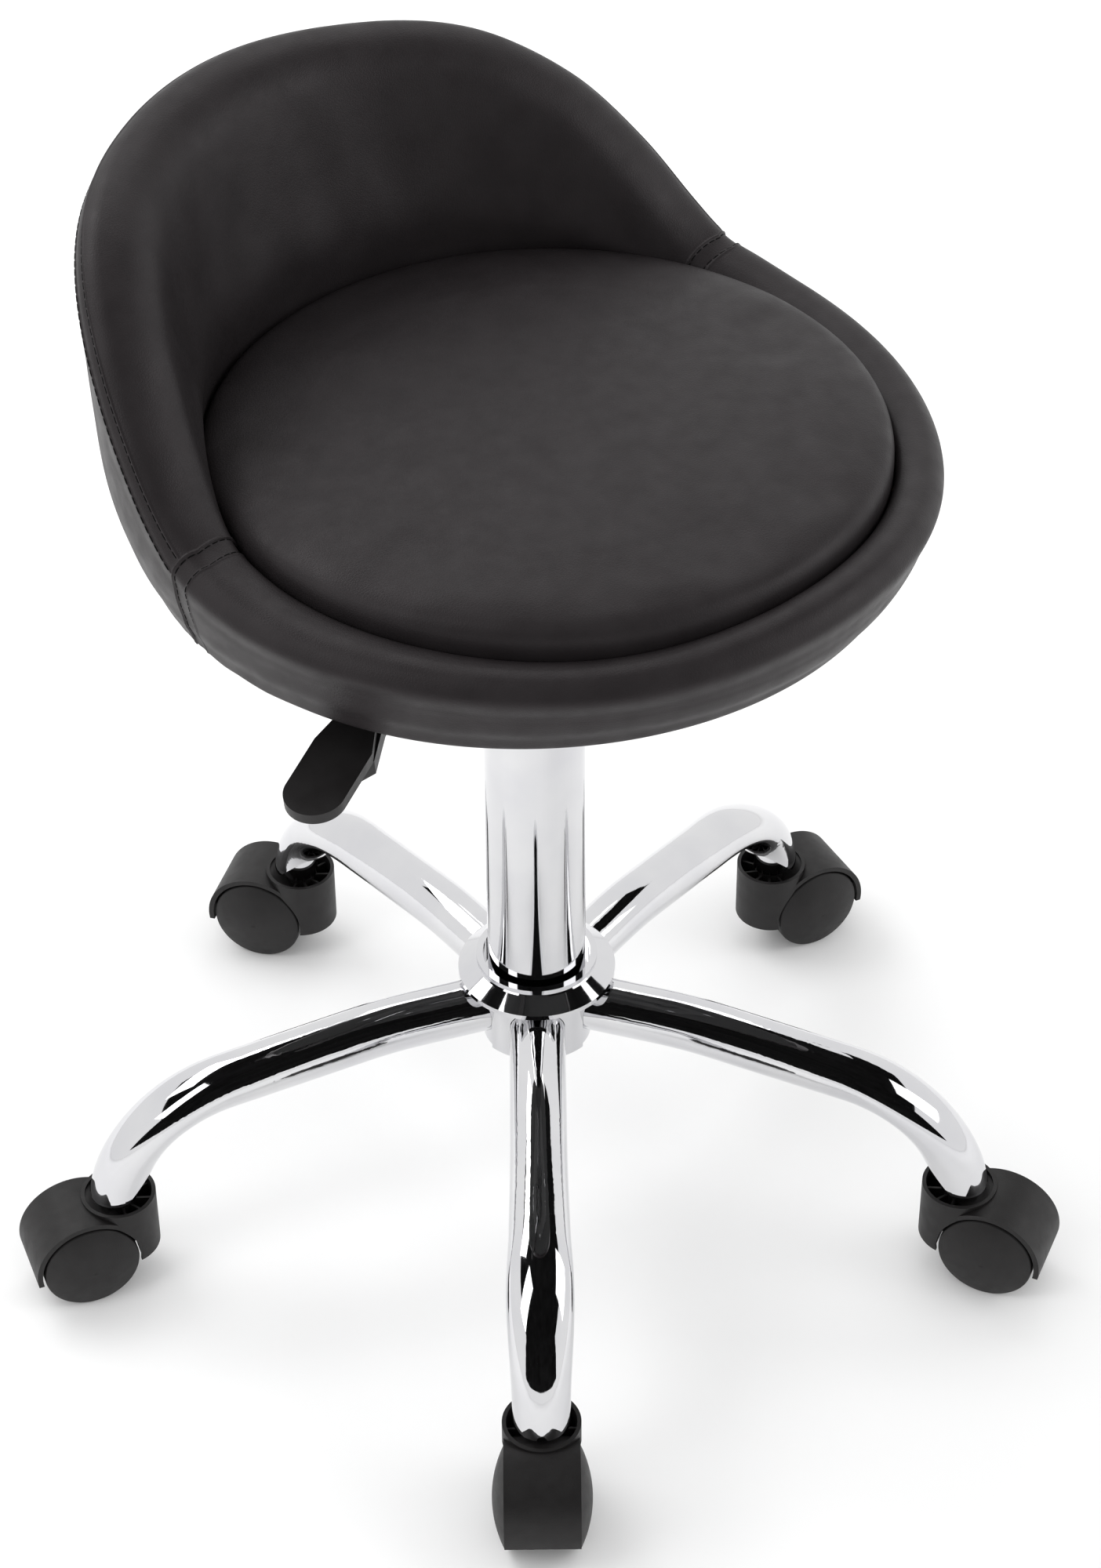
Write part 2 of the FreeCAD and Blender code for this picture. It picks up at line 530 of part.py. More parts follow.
def make_seat_plate():
    body = new_body("seat_plate")
    top = new_sketch(body, "top", "XY_Plane", "plate_low")
    rounded_rectangle(top, "(plate_side / 2)", "(plate_side / 2)", "plate_corner")
    pad(body, "top_pad", top, "plate_thick")
    walls = new_sketch(body, "walls", "XY_Plane", "box_low")
    rounded_rectangle(walls, "(box_length / 2)", "(box_width / 2)", "box_corner")
    rounded_rectangle(walls, "(box_length / 2 - box_wall)", "(box_width / 2 - box_wall)",
                      "(box_corner - box_wall)")
    pad(body, "walls_pad", walls, "plate_low - box_low")
    floor = new_sketch(body, "floor", "XY_Plane", "box_low")
    rounded_rectangle(floor, "(box_length / 2)", "(box_width / 2)", "box_corner")
    circle(floor, "taper_radius")
    pad(body, "floor_pad", floor, "box_wall")
    slot = new_sketch(body, "slot", "YZ_Plane", "-(box_length / 2) - 1")
    outline(slot, [("-slot_half", "slot_low"), ("slot_half", "slot_low"),
                   ("slot_half", "plate_low"), ("-slot_half", "plate_low")])
    pocket(body, "slot_cut", slot, "box_wall + 2", reverse=True)
    pivot = circle(new_sketch(body, "pivot", "XZ_Plane"), "pivot_radius", "-pivot_offset",
                   "pivot_height")
    pocket(body, "pivot_cut", pivot, "box_width + 4", symmetric=True)
    holes = bolt_circles(new_sketch(body, "holes", "XY_Plane", "plate_low + plate_thick"),
                         "bolt_radius + bolt_clearance")
    pocket(body, "holes_cut", holes, "plate_thick + 1")
    keep("seat_plate", body)
    keep("taper_socket", turned("taper_socket", ring_section(
        "cylinder_radius", "taper_radius", "taper_low", "taper_high")))
    pin = turned("lever_pivot_pin", [
        ("0", "-pivot_half"), ("pivot_radius", "-pivot_half"), ("pivot_radius", "pivot_half"),
        ("0", "pivot_half")])
    pin.Placement = Placement(Vector(), Rotation(Vector(1, 0, 0), 90))
    bind(pin, x="-pivot_offset", z="pivot_height")
    keep("lever_pivot_pin", pin)


def make_bolts():
    bolts = []
    nuts = []
    for number, (side_x, side_y) in enumerate(((1, 1), (-1, 1), (-1, -1), (1, -1)), start=1):
        bolt = turned("plate_bolt_%d" % number, [
            ("0", "plate_low - bolt_head_thick"), ("bolt_head - 1.5", "plate_low - bolt_head_thick"),
            ("bolt_head", "plate_low - 1"), ("bolt_head", "plate_low"), ("bolt_radius", "plate_low"),
            ("bolt_radius", "bolt_high"), ("0", "bolt_high")])
        drive = new_sketch(bolt, "drive", "XY_Plane", "plate_low - bolt_head_thick")
        hexagon = [("bolt_drive * cos(%d)" % angle, "bolt_drive * sin(%d)" % angle)
                   for angle in range(0, 360, 60)]
        outline(drive, hexagon)
        pocket(bolt, "drive_cut", drive, "bolt_drive_deep", reverse=True)
        nut = turned("tee_nut_%d" % number, [
            ("bolt_radius", "board_low + 2"), ("nut_barrel", "board_low + 2"),
            ("nut_barrel", "board_high - nut_flange_thick"),
            ("nut_flange", "board_high - nut_flange_thick"), ("nut_flange", "board_high"),
            ("bolt_radius", "board_high")])
        for piece, pile in ((bolt, bolts), (nut, nuts)):
            bind(piece, x="%d * bolt_spacing / 2" % side_x, y="%d * bolt_spacing / 2" % side_y)
            pile.append(piece)
    group("plate_bolts", bolts)
    group("tee_nuts", nuts)


def lever_direction():
    """Unit vector along the outer run of the lever rod, away from the column."""
    bend = math.radians(value("lever_bend_angle"))
    roll = math.radians(value("lever_roll"))
    return Vector(-math.cos(bend), -math.sin(bend) * math.cos(roll), -math.sin(bend) * math.sin(roll))


def make_lever():
    rod = new_body("lever_rod")
    straight = value("lever_inner_end + lever_bend")
    bend = math.radians(value("lever_bend_angle"))
    radius = value("lever_bend_radius")
    tangent = radius * math.tan(bend / 2)
    outward = Vector(-math.cos(bend), -math.sin(bend), 0)
    corner = Vector(-straight, 0, 0)
    path = new_sketch(rod, "path", "XY_Plane")
    path.AttachmentOffset = Placement(Vector(), Rotation(Vector(1, 0, 0), value("lever_roll")))
    bend_start = corner + Vector(tangent, 0, 0)
    bend_end = corner + outward * tangent
    path.addGeometry([Part.LineSegment(Vector(), bend_start),
                      arc_between(bend_start, bend_end, radius, 1),
                      Part.LineSegment(bend_end, corner + outward * value("lever_reach"))], False)
    section = circle(new_sketch(rod, "section", "YZ_Plane"), "lever_radius")
    pipe = rod.newObject("PartDesign::AdditivePipe", "lever_rod_pipe")
    pipe.Profile = section
    pipe.Spine = (path, ["Edge1", "Edge2", "Edge3"])
    eye_across = "-pivot_offset - lever_inner_end"
    eye = circle(new_sketch(rod, "eye", "XZ_Plane"), "lever_eye", eye_across)
    pad(rod, "eye_pad", eye, "lever_eye_half * 2", symmetric=True)
    hole = circle(new_sketch(rod, "eye_hole", "XZ_Plane"), "pivot_bore", eye_across)
    pocket(rod, "eye_cut", hole, "lever_eye_half * 2 + 2", symmetric=True)
    bind(rod, x="lever_inner_end", z="pivot_height")
    keep("lever_rod", rod)

    handle = new_body("lever_handle")
    half_thick = "(handle_blade + handle_socket_thick) / 2"
    left = "-(handle_width / 2 + 1)"
    right = "(handle_width / 2 - 1)"
    round_start = "(handle_tip - handle_width / 2)"
    blade = new_sketch(handle, "blade", "XY_Plane", half_thick + " - handle_blade")
    outline(blade, [
        ("handle_start", "-handle_neck_half"), ("handle_neck_end", "-handle_neck_half"),
        ("handle_flare_end", left), (round_start, left), ("handle_tip", "-1", ("handle_width / 2", 1)),
        (round_start, right, ("handle_width / 2", 1)),
        ("handle_flare_end", right), ("handle_neck_end", "handle_neck_front"),
        ("handle_start", "handle_neck_front")])
    pad(handle, "blade_pad", blade, "handle_blade")
    block = new_sketch(handle, "block", "XY_Plane", "-" + half_thick)
    outline(block, [
        ("handle_start", "-handle_neck_half"),
        ("handle_socket_end - handle_socket_taper", "-handle_neck_half"),
        ("handle_socket_end", "-2"), ("handle_socket_end", "handle_socket_front"),
        ("handle_socket_end - handle_socket_taper", right),
        ("handle_neck_end", "handle_socket_front"), ("handle_start", "handle_socket_front")])
    pad(handle, "block_pad", block, "handle_socket_thick")
    socket = circle(new_sketch(handle, "socket", "YZ_Plane", "handle_start"), "lever_radius")
    pocket(handle, "socket_cut", socket, "lever_reach - handle_start", reverse=True)
    outward = lever_direction()
    handle.Placement = Placement(Vector(), Rotation(outward, Vector(), Vector(0, 0, 1), "XZY"))
    bind(handle, x="-lever_bend", z="pivot_height")
    keep("lever_handle", handle)


# ---------------------------------------------------------------- seat
def make_board_and_cover():
    board = turned("seat_board", [
        ("0", "board_low"), ("board_radius - 1.5", "board_low"), ("board_radius", "board_low + 1.5"),
        ("board_radius", "board_high - 1.5"), ("board_radius - 1.5", "board_high"),
        ("0", "board_high")])
    through = bolt_circles(new_sketch(board, "through", "XY_Plane", "board_high"),
                           "bolt_radius + bolt_clearance", "seat_shift")
    pocket(board, "through_cut", through, "board_high - board_low + 1")
    barrels = bolt_circles(new_sketch(board, "barrels", "XY_Plane", "board_high"),
                           "nut_barrel", "seat_shift")
    pocket(board, "barrels_cut", barrels, "board_high - board_low - 2")
    flanges = bolt_circles(new_sketch(board, "flanges", "XY_Plane", "board_high"),
                           "nut_flange", "seat_shift")
    pocket(board, "flanges_cut", flanges, "nut_flange_thick")
    bind(board, y="seat_shift")
    keep("seat_board", board)
    cover = turned("dust_cover", [("0", "cover_low"), ("cover_radius", "cover_low"),
                                  ("cover_radius", "board_low"), ("0", "board_low")])
    holes = bolt_circles(new_sketch(cover, "holes", "XY_Plane", "board_low"),
                         "bolt_radius + bolt_clearance", "seat_shift")
    pocket(cover, "holes_cut", holes, "board_low - cover_low + 1")
    bind(cover, y="seat_shift")
    keep("dust_cover", cover)


def sector(sketch, inner, outer, half_angle):
    """A curved strip about the +Y direction, between two radii and two equal angles."""
    across = "sin(%s)" % half_angle
    along = "cos(%s)" % half_angle
    return outline(sketch, [
        ("-%s * %s" % (outer, across), "%s * %s" % (outer, along), (outer, 1)),
        ("-%s * %s" % (inner, across), "%s * %s" % (inner, along)),
        ("%s * %s" % (inner, across), "%s * %s" % (inner, along), (inner, -1)),
        ("%s * %s" % (outer, across), "%s * %s" % (outer, along))])


def make_rim_part(label, is_back):
    """The padded rim, or the back that rises from it, cut from one turned shape by the side seams."""
    body = turned(label, [
        ("0", "board_high + soft_gap"), ("board_radius + soft_gap", "board_high + soft_gap"),
        ("board_radius + soft_gap", "board_low"), ("cover_radius + soft_gap", "board_low"),
        ("cover_radius + soft_gap", "rim_low"), ("rim_foot", "rim_low"),
        ("rim_foot + 4", "rim_foot_high"), ("rim_radius", "rim_belly"),
        ("rim_shoulder", "rim_shoulder_high"), ("back_flare", "back_high"), ("0", "back_high")])
    space = new_sketch(body, "space", "YZ_Plane")
    middle = "(pad_shift - seat_shift)"
    axis = [Part.LineSegment(Vector(value(middle), 0, 0), Vector(value(middle), 10, 0))]
    space.addGeometry(axis, True)
    outline(space, [
        (middle, "board_high - 1"), (middle + " + pocket_radius", "board_high - 1"),
        (middle + " + pocket_radius", "pocket_lean_low"),
        (middle + " + pocket_lean_radius", "pocket_lean_high"), (middle, "pocket_lean_high")])
    scoop = body.newObject("PartDesign::Groove", label + "_scoop")
    scoop.Profile = space
    scoop.ReferenceAxis = (space, ["Axis0"])
    scoop.Angle = 360
    trim = new_sketch(body, "trim", "YZ_Plane")
    outline(trim, [
        ("-rim_reach", "rim_high"), ("back_rise_start", "rim_high"),
        ("back_slope_start", "back_slope_low", ("back_rise_radius", 1)),
        ("back_slope_end", "back_slope_high"),
        ("back_flare", "back_high + 1", ("back_crown_radius", -1)), ("rim_reach", "back_high + 1"),
        ("rim_reach", "back_high + 40"), ("-rim_reach", "back_high + 40")])
    pocket(body, "trim_cut", trim, "rim_reach * 2", symmetric=True)
    side = "rim_reach * 2 * sin(seam_angle)"
    ahead = "rim_reach * 2 * cos(seam_angle)"
    away = "-rim_reach * 2" if is_back else "rim_reach * 2"
    split = new_sketch(body, "split", "XY_Plane", "back_high + 10")
    outline(split, [("0", "0"), (side, ahead), ("rim_reach * 2", away), ("-rim_reach * 2", away),
                    ("-" + side, ahead)])
    pocket(body, "split_cut", split, "back_high - rim_low + 20")
    if is_back:
        slot = sector(new_sketch(body, "slot", "XY_Plane", "shell_high"), "shell_inner",
                      "shell_outer", "shell_half_angle")
        pocket(body, "slot_cut", slot, "shell_high - shell_low")
    bind(body, y="seat_shift")
    keep(label, body)


def make_cushions():
    make_rim_part("back_cushion", True)
    make_rim_part("front_rim", False)
    shell = new_body("back_shell")
    strip = sector(new_sketch(shell, "strip", "XY_Plane", "shell_low"), "shell_inner",
                   "shell_outer", "shell_half_angle")
    pad(shell, "strip_pad", strip, "shell_high - shell_low")
    bind(shell, y="seat_shift")
    keep("back_shell", shell)
    cushion = turned("seat_pad", [
        ("0", "board_high"), ("pad_radius", "board_high"), ("pad_radius", "pad_groove"),
        ("pad_shoulder_radius", "pad_shoulder", ("pad_edge_round", 1)),
        ("pad_flat", "pad_high", ("pad_crown_round", 1)),
        ("0", "pad_high")])
    bind(cushion, y="pad_shift")
    keep("seat_pad", cushion)


def write_nodes():
    doc.recompute()
    failed = [thing.Label + ": " + thing.getStatusString() for thing in doc.Objects
              if {"Invalid", "Error"} & set(thing.State)]
    if failed:
        raise RuntimeError("failed: " + ", ".join(failed))
    os.makedirs("parts", exist_ok=True)
    for label, thing in NODES.items():
        if thing.Shape.isNull() or not thing.Shape.isValid():
            raise RuntimeError(label + " has no valid shape")
        thing.Shape.exportStep("parts/%s.step" % label)
        print("%-26s %10.1f mm3  %d solid" % (label, thing.Shape.Volume, len(thing.Shape.Solids)))


make_hub()
make_legs_and_sockets()
make_casters()
make_gas_lift()
make_seat_plate()
make_bolts()
make_lever()
make_board_and_cover()
make_cushions()
write_nodes()
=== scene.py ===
import json
import math

import bpy
import numpy as np
from mathutils import Matrix, Vector, kdtree


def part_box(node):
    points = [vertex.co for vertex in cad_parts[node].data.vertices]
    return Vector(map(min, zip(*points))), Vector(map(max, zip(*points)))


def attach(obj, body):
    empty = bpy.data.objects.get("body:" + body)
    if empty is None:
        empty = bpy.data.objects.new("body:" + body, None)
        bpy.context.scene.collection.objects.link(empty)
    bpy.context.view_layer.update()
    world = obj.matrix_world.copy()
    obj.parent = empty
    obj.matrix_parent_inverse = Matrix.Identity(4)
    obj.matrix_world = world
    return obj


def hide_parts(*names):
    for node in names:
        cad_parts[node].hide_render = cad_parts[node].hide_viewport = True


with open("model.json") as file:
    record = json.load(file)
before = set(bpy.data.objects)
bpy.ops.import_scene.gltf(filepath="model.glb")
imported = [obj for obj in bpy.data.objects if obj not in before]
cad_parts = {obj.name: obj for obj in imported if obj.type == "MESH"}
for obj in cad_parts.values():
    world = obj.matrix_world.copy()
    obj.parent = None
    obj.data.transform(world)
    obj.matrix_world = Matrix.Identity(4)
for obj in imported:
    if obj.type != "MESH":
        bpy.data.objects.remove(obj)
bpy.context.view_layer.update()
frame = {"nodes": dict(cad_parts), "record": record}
MM = 0.001

# ---------------------------------------------------------------- sizes, from the frame
pad_low, pad_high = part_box("seat_pad")
board_low, board_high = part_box("seat_board")
rim_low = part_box("front_rim")[0]

PAD_CENTRE = (pad_low + pad_high) / 2
PAD_RADIUS = (pad_high.x - pad_low.x) / 2
RIM_CENTRE = (board_low + board_high) / 2
BOARD_RADIUS = (board_high.x - board_low.x) / 2
BOARD_TOP = board_high.z

# ---------------------------------------------------------------- the padded rim's own sizes
RIM_RADIUS = BOARD_RADIUS + 15.7 * MM       # at the belly, under the roll of the rim, straight ahead
NARROWING = 0.965                           # the ring's width over its length
BELLY = rim_low.z + 21 * MM
GROOVE_RADIUS = PAD_RADIUS + 0.5 * MM
GROOVE_HEIGHT = pad_high.z - 24 * MM        # where the back meets the pad
GROOVE_DEPTH = 3.2 * MM                     # from the front rim's top down to the groove
THICKNESS = 41 * MM                         # of the back's padding, under its rolled top
ROLL_INSIDE = 36 * MM                       # height of the roll on the sitter's side
ROLL_OUTSIDE = 13 * MM
ROLL_TOP = 12 * MM                          # from the crest out to the outside of the roll
FLARE = 11.4 * MM                           # how far the back leans out at its top
FLARE_SPAN = 160 * MM                       # the height above the belly that FLARE is measured at
FLARE_POWER = 0.34                          # below 1, so the outside leans out most near the belly
FLARE_START = 8 * MM                        # height over which the lean sets in
CREST = (                                   # degrees from the middle of the back, height of the crest
    (0, 592.8), (20, 588.5), (40, 578), (55, 554), (66, 523.7), (74, 497.7), (80, 483), (86, 477.9),
    (95, 473.8), (115, 471), (145, 469.5), (180, 475))
BLEND = 3 * MM                              # over which the larger of two lengths takes over
SHOULDER = 4 * MM                           # from the roll down to the plain outside of the back
CLEARANCE = 1.5 * MM                        # of the section's hidden ends above the board's top
GROOVE_WALL = ((0.5 * MM, 14 * MM), (0.1 * MM, 2 * MM))     # away from the pad, below the groove
INSIDE_PARTS = (0.15, 0.42, 0.75)           # of the way up from the groove to the roll
OUTSIDE_PARTS = (0.85, 0.55, 0.25)          # of the way up from the belly to the shoulder
INSIDE_TURNS = (32, 52, 71, 90)             # degrees round the roll, up to the crest
OUTSIDE_TURNS = (65, 40, 15)                # degrees round the roll, down from the crest
UNDERSIDE = (                               # part of the way out from the board to the belly, height
    (0.79, BELLY - 7 * MM), (0.5, BELLY - 13 * MM), (0.24, rim_low.z + 1.2 * MM))
TUCK = (                                    # out from the board's edge, height
    (1.9 * MM, rim_low.z + 0.4 * MM), (1.6 * MM, rim_low.z + 3 * MM), (1.3 * MM, BOARD_TOP + CLEARANCE))
CROWN = 6 * MM                              # padding that stands proud in the middle of the back
CROWN_RISE = 60 * MM                        # a back at least this high has its full crown
CROWN_POWER = 1.5                           # above 1, so the crown fades out at both ends
LEAN_POWER = 1.2                            # above 1, so the inside rises steeply from the groove

SECTION_STEPS = 12                          # points between two corners of a section

PAD_TOP = (                                 # mm from the pad's centre, mm below its top
    (0, 0), (35, 0.2), (70, 1.2), (105, 3.3), (130, 5.8), (143, 7.6), (150.5, 9.6), (155, 12.4),
    (157.1, 16.5))

UNEVENNESS = 0.8 * MM                       # of the stuffing, from place to place
SHRINK = 2 * MM                             # how much too small a cover is before it is stuffed
VOXEL = 6 * MM                              # of the cover that is simulated
PRESSURE = 4.0
STIFFNESS = 40
FRAMES = 20
NEIGHBOURS = 40                             # simulated points that one point of the cover follows
BLUR = 2.5 * VOXEL                          # how far their influence reaches

SIDE_SEAM = 80                              # degrees from the middle of the back, at the crest
SEAM_LEAN = 4.2                             # degrees that a side seam leans back, inside and outside
SEAM_LEAN_SPAN = 26                         # degrees on each side over which the cover leans with it
CREST_SEAM = 9 * MM                         # below the crest, over the outside of the back
STRIP = 9 * MM                              # width of the strip beside a felled seam
SEAM_WIDTH = 0.5 * MM                       # of its valley
STRIP_START = 0.4 * MM
STRIP_RISE = 0.4 * MM                       # how far the strip stands proud
STRIP_EDGE = 0.6 * MM                       # how softly it ends
FOLD_ROW = 1.1 * MM                         # from a seam to its first row of stitches
STITCH_PITCH = 4.6 * MM
STITCH_LENGTH = 3.6 * MM
STITCH_SIDES = 6
STITCH_STEPS = 6
THREAD = 0.5 * MM                           # its radius
SHARP_ANGLE = 28                            # degrees above which an edge of a CAD piece stays sharp


# ---------------------------------------------------------------- materials
def shader(name):
    """A new material, its Principled shader, a function that adds a node, and the object's coordinates."""
    made = bpy.data.materials.new(name)
    made.use_nodes = True
    tree = made.node_tree
    surface = tree.nodes["Principled BSDF"]

    def add(kind, inputs=(), **settings):
        node = tree.nodes.new("ShaderNode" + kind)
        for key, setting in settings.items():
            setattr(node, key, setting)
        for socket, source in dict(inputs).items():
            if isinstance(source, bpy.types.NodeSocket):
                tree.links.new(source, node.inputs[socket])
            else:
                node.inputs[socket].default_value = source
        return node

    return made, surface, add, add("TexCoord").outputs["Object"]


def join(source, surface, socket):
    surface.id_data.links.new(source, surface.inputs[socket])


def mottled(add, place, scale, low, high):
    """A soft noise stretched between two values."""
    noise = add("TexNoise", {"Vector": place, "Scale": scale, "Detail": 3.0})
    return add("MapRange", {"Value": noise.outputs["Fac"], "From Min": 0.3, "From Max": 0.7,
                            "To Min": low, "To Max": high}).outputs["Result"]


def two_tone(add, place, scale, dark, light):
    """A soft noise that runs from a dark colour to a light one."""
    noise = add("TexNoise", {"Vector": place, "Scale": scale, "Detail": 4.0})
    ramp = add("ValToRGB", {"Fac": noise.outputs["Fac"]})
    ramp.color_ramp.elements[0].position = 0.35
    ramp.color_ramp.elements[0].color = (*dark, 1)
    ramp.color_ramp.elements[1].position = 0.65
    ramp.color_ramp.elements[1].color = (*light, 1)
    return ramp.outputs["Color"]


def raised(surface, add, height, depth, strength=1.0):
    """Gives the surface a fine relief."""
    bump = add("Bump", {"Height": height, "Distance": depth, "Strength": strength})
    join(bump.outputs["Normal"], surface, "Normal")


def make_faux_leather():
    """Black upholstery cover: pebbled grain a millimetre across, with fine creases."""
    made, surface, add, place = shader("faux_leather")
    wander = add("TexNoise", {"Vector": place, "Scale": 260.0, "Detail": 2.0})
    bent = add("MixRGB", {"Fac": 0.0012, "Color1": place, "Color2": wander.outputs["Color"]})
    cells = add("TexVoronoi", {"Vector": bent.outputs["Color"], "Scale": 780.0},
                feature="DISTANCE_TO_EDGE")
    pebble = add("MapRange", {"Value": cells.outputs["Distance"], "From Min": 0.0, "From Max": 0.22})
    pores = add("TexNoise", {"Vector": place, "Scale": 2600.0, "Detail": 2.0})
    grain = add("Math", {0: pores.outputs["Fac"], 1: 0.35, 2: pebble.outputs["Result"]},
                operation="MULTIPLY_ADD")
    raised(surface, add, grain.outputs["Value"], 0.07 * MM, 0.55)
    join(two_tone(add, place, 55.0, (0.0160, 0.0136, 0.0144), (0.0190, 0.0163, 0.0172)),
         surface, "Base Color")
    join(mottled(add, place, 90.0, 0.40, 0.50), surface, "Roughness")
    surface.inputs["Specular IOR Level"].default_value = 0.23
    surface.inputs["Specular Tint"].default_value = (1.0, 0.95, 0.97, 1)
    return made


def make_thread():
    made, surface, add, place = shader("stitching_thread")
    twist = add("TexWave", {"Vector": place, "Scale": 900.0, "Distortion": 1.0})
    raised(surface, add, twist.outputs["Fac"], 0.05 * MM)
    join(two_tone(add, place, 900.0, (0.002, 0.002, 0.002), (0.005, 0.005, 0.005)),
         surface, "Base Color")
    surface.inputs["Roughness"].default_value = 0.8
    surface.inputs["Specular IOR Level"].default_value = 0.1
    return made


def make_chrome():
    """Mirror chrome with the faint haze of polishing."""
    made, surface, add, place = shader("chrome")
    join(two_tone(add, place, 25.0, (0.66, 0.66, 0.68), (0.71, 0.71, 0.72)), surface, "Base Color")
    join(mottled(add, place, 60.0, 0.025, 0.06), surface, "Roughness")
    surface.inputs["Metallic"].default_value = 1.0
    return made


def make_bare_steel():
    """Zinc-plated steel with fine turning marks."""
    made, surface, add, place = shader("zinc_steel")
    marks = add("TexWave", {"Vector": place, "Scale": 400.0, "Distortion": 2.0}, bands_direction="Z")
    raised(surface, add, marks.outputs["Fac"], 0.01 * MM, 0.5)
    join(two_tone(add, place, 40.0, (0.50, 0.50, 0.52), (0.60, 0.60, 0.60)), surface, "Base Color")
    join(mottled(add, place, 120.0, 0.28, 0.42), surface, "Roughness")
    surface.inputs["Metallic"].default_value = 1.0
    return made


def make_moulded_plastic(name, tone, roughness, texture_scale, depth):
    """Black moulded plastic with a spark-eroded texture."""
    made, surface, add, place = shader(name)
    grit = add("TexNoise", {"Vector": place, "Scale": texture_scale, "Detail": 3.0, "Roughness": 0.6})
    raised(surface, add, grit.outputs["Fac"], depth, 0.8)
    dark = (tone, tone * 0.88, tone * 0.9)
    light = (tone * 1.3, tone * 1.18, tone * 1.2)
    join(two_tone(add, place, 70.0, dark, light), surface, "Base Color")
    surface.inputs["Specular IOR Level"].default_value = 0.36
    join(mottled(add, place, 150.0, roughness - 0.05, roughness + 0.05), surface, "Roughness")
    return made


def make_powder_coat():
    made, surface, add, place = shader("powder_coat")
    peel = add("TexNoise", {"Vector": place, "Scale": 600.0, "Detail": 1.0})
    raised(surface, add, peel.outputs["Fac"], 0.06 * MM, 0.6)
    join(two_tone(add, place, 60.0, (0.013, 0.013, 0.013), (0.018, 0.018, 0.018)),
         surface, "Base Color")
    join(mottled(add, place, 200.0, 0.36, 0.46), surface, "Roughness")
    return made


def make_plywood():
    """Birch plywood, its plies in the height direction."""
    made, surface, add, place = shader("plywood")
    long_way = add("Mapping", {"Vector": place, "Scale": (6.0, 60.0, 300.0)})
    grain = add("TexNoise", {"Vector": long_way.outputs["Vector"], "Scale": 4.0, "Detail": 6.0})
    ramp = add("ValToRGB", {"Fac": grain.outputs["Fac"]})
    ramp.color_ramp.elements[0].color = (0.36, 0.23, 0.12, 1)
    ramp.color_ramp.elements[1].color = (0.62, 0.46, 0.28, 1)
    join(ramp.outputs["Color"], surface, "Base Color")
    raised(surface, add, grain.outputs["Fac"], 0.15 * MM, 0.5)
    surface.inputs["Roughness"].default_value = 0.65
    return made


def make_cover_cloth():
    """Thin black non-woven cloth with a pressed dot pattern."""
    made, surface, add, place = shader("cover_cloth")
    dots = add("TexVoronoi", {"Vector": place, "Scale": 620.0, "Randomness": 0.15})
    fibres = add("TexNoise", {"Vector": place, "Scale": 1800.0, "Detail": 4.0})
    weave = add("Math", {0: fibres.outputs["Fac"], 1: 0.5, 2: dots.outputs["Distance"]},
                operation="MULTIPLY_ADD")
    raised(surface, add, weave.outputs["Value"], 0.25 * MM, 0.7)
    join(two_tone(add, place, 900.0, (0.010, 0.010, 0.010), (0.022, 0.022, 0.022)),
         surface, "Base Color")
    surface.inputs["Roughness"].default_value = 0.9
    return made


def make_rubber():
    made, surface, add, place = shader("rubber")
    skin = add("TexNoise", {"Vector": place, "Scale": 900.0, "Detail": 2.0})
    raised(surface, add, skin.outputs["Fac"], 0.05 * MM)
    join(mottled(add, place, 80.0, 0.6, 0.75), surface, "Roughness")
    surface.inputs["Base Color"].default_value = (0.02, 0.02, 0.02, 1)
    return made


finish_of_slot = {
    "chrome_steel": make_chrome(),
    "bare_steel": make_bare_steel(),
    "black_plastic": make_moulded_plastic("caster_plastic", 0.0085, 0.52, 1500.0, 0.10 * MM),
    "lever_plastic": make_moulded_plastic("lever_plastic", 0.0105, 0.42, 1100.0, 0.05 * MM),
    "faux_leather": make_faux_leather(),
    "plywood": make_plywood(),
    "cover_cloth": make_cover_cloth(),
    "painted_steel": make_powder_coat(),
    "rubber": make_rubber()}
thread = make_thread()


def dress_cad_nodes():
    """Gives every CAD piece its finish, with smooth round faces and sharp edges."""
    slot_of = {part["node"]: part["material_slot"] for part in frame["record"]["subparts"]}
    for name, thing in frame["nodes"].items():
        thing.data.materials.clear()
        thing.data.materials.append(finish_of_slot[slot_of[name]])
        for face in thing.data.polygons:
            face.material_index = 0
        thing.data.shade_smooth()
        thing.data.set_sharp_from_angle(angle=math.radians(SHARP_ANGLE))


# ---------------------------------------------------------------- curves and grids
def through(points, where):
    """A smooth curve through (place, value) points, flat at both ends."""
    places = np.array([point[0] for point in points], float)
    values = np.array([point[1] for point in points], float)
    slopes = np.zeros(len(places))
    slopes[1:-1] = (values[2:] - values[:-2]) / (places[2:] - places[:-2])
    index = np.clip(np.searchsorted(places, where) - 1, 0, len(places) - 2)
    span = places[index + 1] - places[index]
    t = (where - places[index]) / span
    return ((2 * t ** 3 - 3 * t ** 2 + 1) * values[index] + (t ** 3 - 2 * t ** 2 + t) * span * slopes[index]
            + (3 * t ** 2 - 2 * t ** 3) * values[index + 1] + (t ** 3 - t ** 2) * span * slopes[index + 1])


